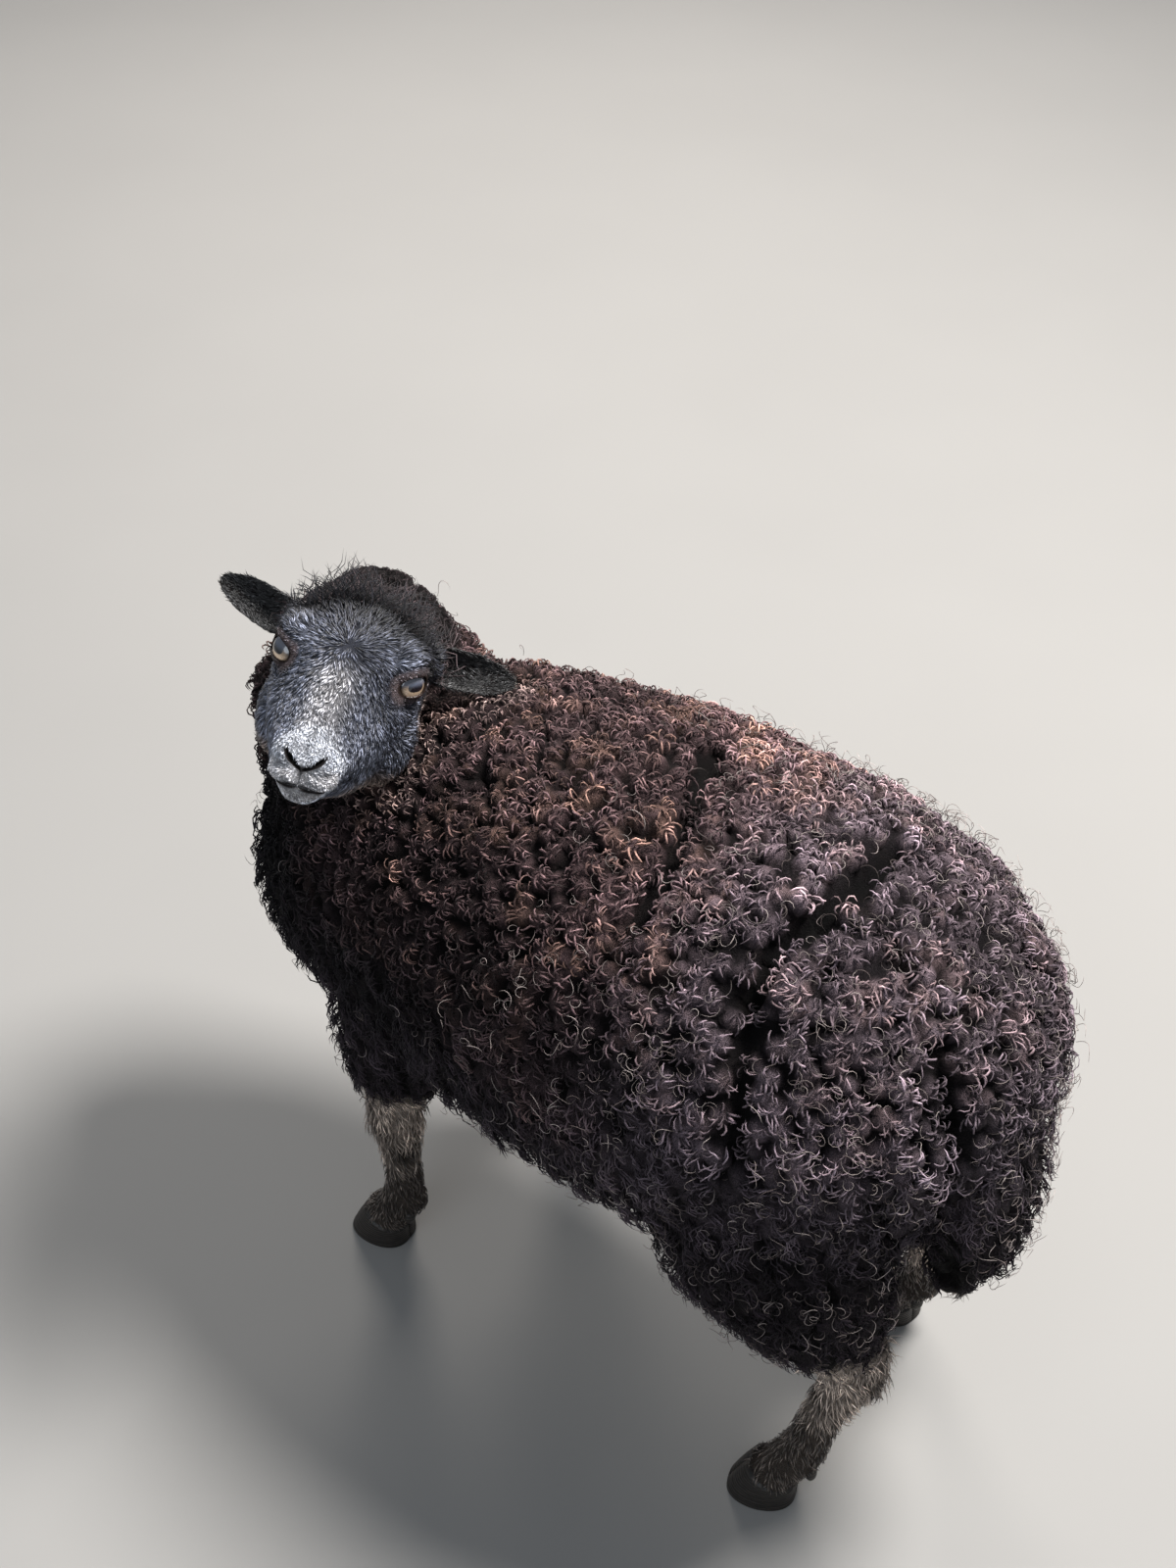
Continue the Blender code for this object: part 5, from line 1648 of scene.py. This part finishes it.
def stops(tree, source, *rows):
    """A colour ramp fed by a value, rows of place and colour, or of place and grey."""
    made = add(tree, "ShaderNodeValToRGB")
    while len(made.color_ramp.elements) < len(rows):
        made.color_ramp.elements.new(0.5)
    for element, (place, shade) in zip(made.color_ramp.elements, rows):
        element.position = place
        element.color = (*(shade if isinstance(shade, tuple) else (shade,) * 3), 1.0)
    wire(tree, source, made.inputs["Fac"])
    return made.outputs["Color"]


def mixed(tree, share, first, second, data_type="RGBA", blend_type="MIX"):
    """Mix of two values or colours, each a socket or plain."""
    made = add(tree, "ShaderNodeMix", data_type=data_type, blend_type=blend_type)
    for name, value in (("Factor", share), ("A", first), ("B", second)):
        wire(tree, value, made.inputs[name])
    return made.outputs["Result"]


def product(tree, first, second):
    """Product of two colours."""
    return mixed(tree, 1.0, first, second, blend_type="MULTIPLY")


def bumped(tree, shader, source, distance, strength):
    """Relief from a value."""
    made = add(tree, "ShaderNodeBump", {"Distance": distance, "Strength": strength})
    wire(tree, source, made.inputs["Height"])
    wire(tree, made.outputs["Normal"], shader.inputs["Normal"])


def coat_look(name, rough, specular, sheen, scale):
    """Hair or wool whose colour is carried by the strands, with fine uneven fibre."""
    made, tree, shader = look_of(name, rough, specular, sheen)
    carried = add(tree, "ShaderNodeAttribute", attribute_name="coat")
    fine = speckle(tree, scale, 3.0)
    shade = stops(tree, fine, (0.30, 0.62), (0.70, 1.35))
    wire(tree, product(tree, carried.outputs["Color"], shade), shader.inputs["Base Color"])
    rougher = stops(tree, fine, (0.25, rough - 0.12), (0.75, min(rough + 0.12, 1.0)))
    wire(tree, rougher, shader.inputs["Roughness"])
    bumped(tree, shader, fine, 0.0004, 0.5)
    return made


def skin_look():
    """Skin under the coat with its colours and painted shade: felted curls under wool, fine hair
    elsewhere.
    """
    made, tree, shader = look_of("hide", 0.80, 0.12)
    carried = add(tree, "ShaderNodeAttribute", attribute_name="coat")
    rows = [(0.20 + 0.062 * k, FELT_DARK if k % 2 else FELT_PALE) for k in range(11)]
    bands = stops(tree, speckle(tree, FELT_SCALE, 2.0, 0.6, 1.4), *rows)
    fine = speckle(tree, 1100.0, 4.0, 0.7, 2.2)
    hairs = stops(tree, fine, (0.36, 0.25), (0.66, 1.60))
    grain = stops(tree, fine, (0.30, 0.55), (0.70, 1.35))
    both = mixed(tree, carried.outputs["Alpha"], hairs, product(tree, bands, grain))
    wire(tree, product(tree, carried.outputs["Color"], both), shader.inputs["Base Color"])
    bumped(tree, shader, both, 0.0016, 0.8)
    return made


def horn_look():
    """Dark layered horn with growth rings and dull scratches."""
    made, tree, shader = look_of("hoof_horn", 0.5, 0.4)
    rings = add(tree, "ShaderNodeTexWave", {"Scale": 160.0, "Distortion": 3.0, "Detail": 3.0},
                bands_direction="Z")
    wire(tree, own_space(tree), rings.inputs["Vector"])
    both = mixed(tree, 0.45, rings.outputs["Fac"], speckle(tree, 260.0, 5.0), "FLOAT")
    colour = stops(tree, both, (0.20, HORN_DARK), (0.55, HORN_MID), (0.85, HORN_PALE))
    wire(tree, colour, shader.inputs["Base Color"])
    bumped(tree, shader, both, 0.0006, 0.6)
    return made


def eye_look():
    """Amber streaked iris, wide level pupil, brown rim, wet coat; painted light, shade and sky
    reflection.
    """
    made, tree, shader = look_of("eye_wet", 0.25, 0.5, 0.0, 1.0)
    split = add(tree, "ShaderNodeSeparateXYZ")
    wire(tree, own_space(tree), split.inputs["Vector"])
    x, y = split.outputs["X"], split.outputs["Y"]

    def result(kind, first, second=0.5):
        """One sum on two values or sockets, with 0.5 added where it adds."""
        node = add(tree, "ShaderNodeMath", {2: 0.5}, operation=kind)
        wire(tree, first, node.inputs[0])
        wire(tree, second, node.inputs[1])
        return node.outputs[0]

    wide = result("POWER", result("ABSOLUTE", result("DIVIDE", x, PUPIL[0])), 3.0)
    tall = result("POWER", result("ABSOLUTE", result("DIVIDE", y, PUPIL[1])), 2.2)
    reach = result("SQRT", result("ADD", result("MULTIPLY", x, x), result("MULTIPLY", y, y)))
    share = result("DIVIDE", reach, IRIS_RADIUS)
    place = add(tree, "ShaderNodeCombineXYZ")
    wire(tree, result("MULTIPLY", result("ARCTAN2", y, x), 9.0), place.inputs["X"])
    wire(tree, result("MULTIPLY", share, 1.6), place.inputs["Y"])
    streaks = add(tree, "ShaderNodeTexNoise", {"Scale": 2.2, "Detail": 5.0, "Roughness": 0.7})
    wire(tree, place.outputs[0], streaks.inputs["Vector"])
    iris = stops(tree, streaks.outputs["Fac"],
                 (0.30, IRIS_DARK), (0.50, IRIS_MID), (0.72, IRIS_PALE))
    rim = stops(tree, share, (0.78, 1.0), (0.96, 0.25), (1.0, 0.10))
    level = result("MULTIPLY_ADD", result("DIVIDE", y, IRIS_RADIUS), 0.5)
    # Painted light: the eye lighter below and in the brow's shade above
    below = stops(tree, level, (0.22, 1.5), (0.45, 0.55), (0.66, 0.20))
    # Painted reflection of the sky over the upper part
    sky_reflection = stops(tree, level, (0.48, 0.0), (0.62, 0.85))
    outside = stops(tree, share, (0.97, 0.0), (1.0, 1.0))
    white = mixed(tree, outside, product(tree, iris, rim), EYE_WHITE)
    unpupilled = stops(tree, result("ADD", wide, tall), (0.82, 0.0), (1.0, 1.0))
    whole = mixed(tree, unpupilled, PUPIL_BLACK, product(tree, white, below))
    wire(tree, mixed(tree, sky_reflection, whole, EYE_SKY_REFLECTION), shader.inputs["Base Color"])
    return made


def floor_look():
    """Pale studio floor with the faintest mottling."""
    made, tree, shader = look_of("floor_pale", 0.9, 0.2)
    low = tuple(c * 0.97 for c in FLOOR_COLOUR)
    shade = stops(tree, speckle(tree, 3.0, 2.0), (0.3, low), (0.7, FLOOR_COLOUR))
    wire(tree, shade, shader.inputs["Base Color"])
    return made


def paint_points(obj, colours, woolly=1.0):
    """Write a colour for every vertex of a mesh, and where it is wool."""
    full = np.concatenate((colours, np.ones((len(colours), 1)) * woolly), axis=1)
    layer = obj.data.color_attributes.new("coat", "FLOAT_COLOR", "POINT")
    layer.data.foreach_set("color", full.ravel())


def paint_skin(obj, head_tree, lift):
    """Skin colours: painted shade under the wool, the hair's own colours shaded where hair is short.
    """
    points = points_of(obj)
    # Painted shade: the felt lighter on the clumps' tops, darkest in the gaps between them
    height = GAP_SHADE + (FELT_SHADE - GAP_SHADE) * np.clip(lift, 0.0, 1.0) ** 2.5
    # Painted shade: the felt darker still along the partings
    colours = wool_colour(points) * (height * (1.0 - 0.9 * parted(points)))[:, None]
    on_head = touching_head(points, head_tree)
    spots = in_head(points)
    # Painted shade: skin under the short hair of head and legs darker than the hair
    colours[on_head] = face_colour(spots[on_head]) * HIDE_SHADE
    eye = round_the_eye(spots)
    # Nostrils and the groove of mouth and lip: dark bare skin and painted shade
    colours = layered(colours, (LID_BROWN, on_head * ramp(eye, 1.75, 1.40)),
                      (RIM_BROWN, on_head * ramp(eye, 1.16, 1.04)),
                      (NOSE_SKIN_AND_SHADE, on_head * ramp(round_the_nostril(spots), 1.20, 1.02)),
                      (NOSE_SKIN_AND_SHADE, on_head * ramp(round_the_mouth(spots), 0.0025, 0.0013)))
    ear = on_head & (np.abs(spots[:, 0]) > EAR_STARTS)
    colours[ear] = EAR_OUTSIDE
    colours = blend(colours, EAR_RIM, ramp(np.abs(spots[:, 0]), 0.094, 0.100) * ear * 0.7)
    low = ~on_head & (points[:, 2] < WOOL_END_Z)
    colours[low] = leg_colour(points[low]) * HIDE_SHADE
    paint_points(obj, colours, (~on_head & ~low)[:, None].astype(float))


# Eyes and hooves

def eyeball(name, side, look):
    """Eyeball with a raised clear front."""
    made = ball(name, Vector((0.0, 0.0, 0.0)), (EYE_RADIUS,) * 3, Matrix.Identity(3), *EYE_MESH)
    points = points_of(made)
    front = ramp(points[:, 2] / EYE_RADIUS, CORNEA_STARTS, 1.0)
    move_points(made, points * (1.0 + front * CORNEA_RISE)[:, None])
    made.matrix_world = eye_frame(side)
    return finished(made, look, "eye", name)


def lid_rim(name, side, look):
    """Wet dark rim along the opening of the lids, thickest above."""
    outline = list(eye_outline(RIM_STEPS, RIM_SHARE))
    verts, faces = [], []
    for k, ((x, y), (x2, y2)) in enumerate(zip(outline, outline[1:] + outline[:1])):
        here = Vector((x, y, math.sqrt(max(RIM_RADIUS ** 2 - x * x - y * y, 0.0))))
        ahead = Vector((x2 - x, y2 - y, 0.0)).normalized()
        out = here.normalized()
        beside = ahead.cross(out).normalized()
        thick = RIM_THICK * (1.25 if y > 0.0 else 0.9)
        verts += [here + (beside * c * 1.3 + out * s) * thick for c, s in circle(RIM_SIDES)]
        a, b = k * RIM_SIDES, (k + 1) % RIM_STEPS * RIM_SIDES
        for j in range(RIM_SIDES):
            n = (j + 1) % RIM_SIDES
            faces.append((a + j, a + n, b + n, b + j))
    made = mesh_object(name, verts, faces)
    made.data.transform(eye_frame(side))
    paint_points(made, np.tile(RIM_BROWN, (len(verts), 1)))
    return finished(made, look, "face")


def lashes(side, rng):
    """Roots, headings and sideways directions of the upper lashes of one eye."""
    turn = np.array(eye_turn(side))
    centre = np.array(eye_centre(side))
    angle = rng.uniform(0.25, math.pi - 0.25, LASHES)
    x = np.cos(angle) * EYE_OPENING[0]
    y = np.sin(angle) ** EYE_CORNER * EYE_OPENING[1]
    z = np.sqrt(RIM_RADIUS ** 2 - x * x - y * y)
    spot = np.stack((x, y, z), axis=1)
    out = unit(spot)
    up = unit(np.stack((x * 0.6, np.abs(y) + 0.004, np.zeros(LASHES)), axis=1))
    frame3 = np.array(HEAD_FRAME)
    turned = frame3[:3, :3] @ turn / HEAD_SCALE
    roots = (spot @ turn.T + centre) @ frame3[:3, :3].T + frame3[:3, 3]
    return roots, out @ turned.T, up @ turned.T


def grow_lashes(look, atlas, rng):
    """Dark lashes of both eyes."""
    roots, outs, ups = (np.concatenate(rows) for rows in zip(*(lashes(s, rng) for s in SIDES)))
    heading = np.stack((outs + ups * 0.3, outs * 0.8 + ups * 0.8, outs * 0.3 + ups), axis=1)
    paths = walk(roots, unit(heading), rng.uniform(*LASH_LENGTH, len(roots)), HAIR_STEP_AT)
    colours = np.tile(LASH_BLACK, (len(roots), 1)) * rng.uniform(0.6, 1.5, (len(roots), 1))
    strand_piece("lashes", paths, np.cross(outs, ups), np.full(len(roots), LASH_WIDTH), colours,
                 atlas.places(roots), look, "face")


def claw_ring(length, width, forward, side, height):
    """Outline of one claw: straight along the cleft, round outside, pointed at the toe."""
    ring = []
    for k in range(CLAW_POINTS):
        ring.append((CLEFT * 0.5, forward + length * (0.5 - k / (CLAW_POINTS - 1))))
    for k in range(CLAW_POINTS):
        a = math.pi * (k + 1) / (CLAW_POINTS + 1)
        ring.append((CLEFT * 0.5 + width * math.sin(a) ** 0.75,
                     forward - length * 0.5 * math.cos(a)))
    return [Vector((x * side, -y, height(y))) for x, y in ring]


def hoof(name, rows, yaw, side, look):
    """One claw with a worn sole edge and growth ridges."""
    foot = foot_frame(rows, yaw)
    lower = CLAW_FORWARD + CLAW_LEAN
    rings = [claw_ring(CLAW_LENGTH * 0.97, CLAW_WIDTH * 0.96, lower, side, lambda y: 0.0)]
    for k in range(HOOF_RINGS + 1):
        t = k / HOOF_RINGS
        ridge = 1.0 + RIDGE_HEIGHT * math.sin(t * RIDGE_TURNS) * (1.0 - t)
        length = (CLAW_LENGTH + (CORONET_LENGTH - CLAW_LENGTH) * t) * ridge
        width = (CLAW_WIDTH + (CORONET_WIDTH - CLAW_WIDTH) * t) * ridge
        ahead = lower + (CLAW_FORWARD - lower) * t
        rings.append(claw_ring(length, width, ahead, side,
                               lambda y: SOLE_EDGE + (coronet_height(y) - 0.0015) * t))
    made = loft(name, [[foot @ p for p in ring] for ring in rings])
    return finished(made, look, "hoof", name)


def dewclaw(name, rows, yaw, side, look):
    """Small horn lump behind the fetlock."""
    spin = turning(yaw, "Z")
    at = Vector(rows[-2][:3]) + spin @ Vector((DEWCLAW_AT[0] * side, rows[-2][5] + DEWCLAW_AT[1],
                                              DEWCLAW_AT[2]))
    made = ball(name, at, DEWCLAW, spin, *DEWCLAW_MESH)
    points = points_of(made)
    low = ramp(points[:, 2], at.z, at.z - DEWCLAW[2])
    points[:, :2] += (np.array(at)[:2] - points[:, :2]) * (low * 0.35)[:, None]
    move_points(made, points)
    return finished(made, look, "hoof")


# Studio

def studio():
    """Pale floor, soft lights and the camera."""
    bpy.ops.mesh.primitive_plane_add(size=FLOOR_SIZE, location=(0.0, 0.0, 0.0))
    floor = bpy.context.object
    floor.name = "floor"
    floor.data.materials.append(floor_look())
    for name, place, size, power, colour in LIGHTS:
        lamp = bpy.data.lights.new(name, "AREA")
        lamp.shape, lamp.size, lamp.energy, lamp.color = "DISK", size, power, colour
        holder = linked(name, lamp)
        holder.location = place
        aim = Vector(LIGHT_AIM) - Vector(place)
        holder.rotation_euler = aim.to_track_quat("-Z", "Y").to_euler()
    scene.world = bpy.data.worlds.new("studio")
    scene.world.use_nodes = True
    sky = scene.world.node_tree.nodes["Background"].inputs
    sky["Color"].default_value = (*SKY_COLOUR, 1.0)
    sky["Strength"].default_value = SKY_STRENGTH
    data = bpy.data.cameras.new("camera")
    data.lens, data.sensor_width = CAMERA_LENS, CAMERA_SENSOR
    camera = linked("camera", data)
    turn, rise = math.radians(CAMERA_AZIMUTH), math.radians(CAMERA_RISE)
    back = Vector((math.sin(turn) * math.cos(rise), -math.cos(turn) * math.cos(rise),
                   math.sin(rise)))
    camera.location = Vector(CAMERA_AIM) + SHIFT + back * CAMERA_DISTANCE
    camera.rotation_euler = back.to_track_quat("Z", "Y").to_euler()
    scene.camera = camera
    scene.view_settings.view_transform = "Standard"


def shape_wool(obj, head_tree):
    """Swell the wool's bed, sink it along partings and tuck it in behind the head."""
    points, normals = points_of(obj), points_of(obj, "normal")
    off_head = ~touching_head(points, head_tree)
    lift = SWELL_RISE * (swell(points) - 0.5) * ramp(points[:, 2], 0.17, 0.22)
    lift -= PARTING_DEPTH * small_parting(points) * ramp(points[:, 2], 0.20, 0.25)
    for share, lines in PARTINGS:
        lift -= ramp(near_line(points, lines[0]), CREASE_HALF, 0.0) * CREASE_DEPTH * share
    lift -= TUCK_DEPTH * tucked(points)
    move_points(obj, points + normals * (lift * off_head)[:, None])


def build():
    """Make every piece of the sheep and the studio."""
    rng = np.random.default_rng(SEED)
    wool, hair, crown, rim = (coat_look(*row) for row in COATS)
    horn, eye = horn_look(), eye_look()
    skin, head_tree = whole_skin()
    lay_partings(tree_of(skin))
    shape_wool(skin, head_tree)
    atlas = Atlas(skin)
    locks = lock_places(Ground(skin, head_tree), rng)
    paint_skin(skin, head_tree, raise_clumps(skin, head_tree, locks))
    ground = Ground(skin, head_tree)
    grow_fleece(locks, atlas, head_tree, wool, rng)
    grow_poll(ground, atlas, crown, rng)
    grow_face(ground, atlas, hair, rng)
    grow_ears(ground, atlas, hair, rng)
    grow_legs(ground, atlas, hair, rng)
    grow_stray(ground, atlas, head_tree, wool, rng)
    grow_lashes(hair, atlas, rng)
    skin.name = "skin"
    finished(skin, skin_look(), "face", *FLESH)
    for side, word in zip(SIDES, ("left", "right")):
        eyeball("eye_" + word, side, eye)
        lid_rim("lid_rim_" + word, side, rim)
    for name, side, back, yaw, _, lower in LEGS:
        rows = leg_rows(lower, side, back)
        for word, turn in (("outer", side), ("inner", -side)):
            hoof("hoof_" + name + "_" + word, rows, yaw, turn, horn)
            dewclaw("dewclaw_" + name + "_" + word, rows, yaw, turn, horn)
    studio()


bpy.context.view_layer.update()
SHIFT = Vector((0.0, 0.0, 0.0))
low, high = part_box("eye_left")
SHIFT = (Vector(low) + Vector(high)) * 0.5 - HEAD_FRAME @ eye_centre(1.0)
build()
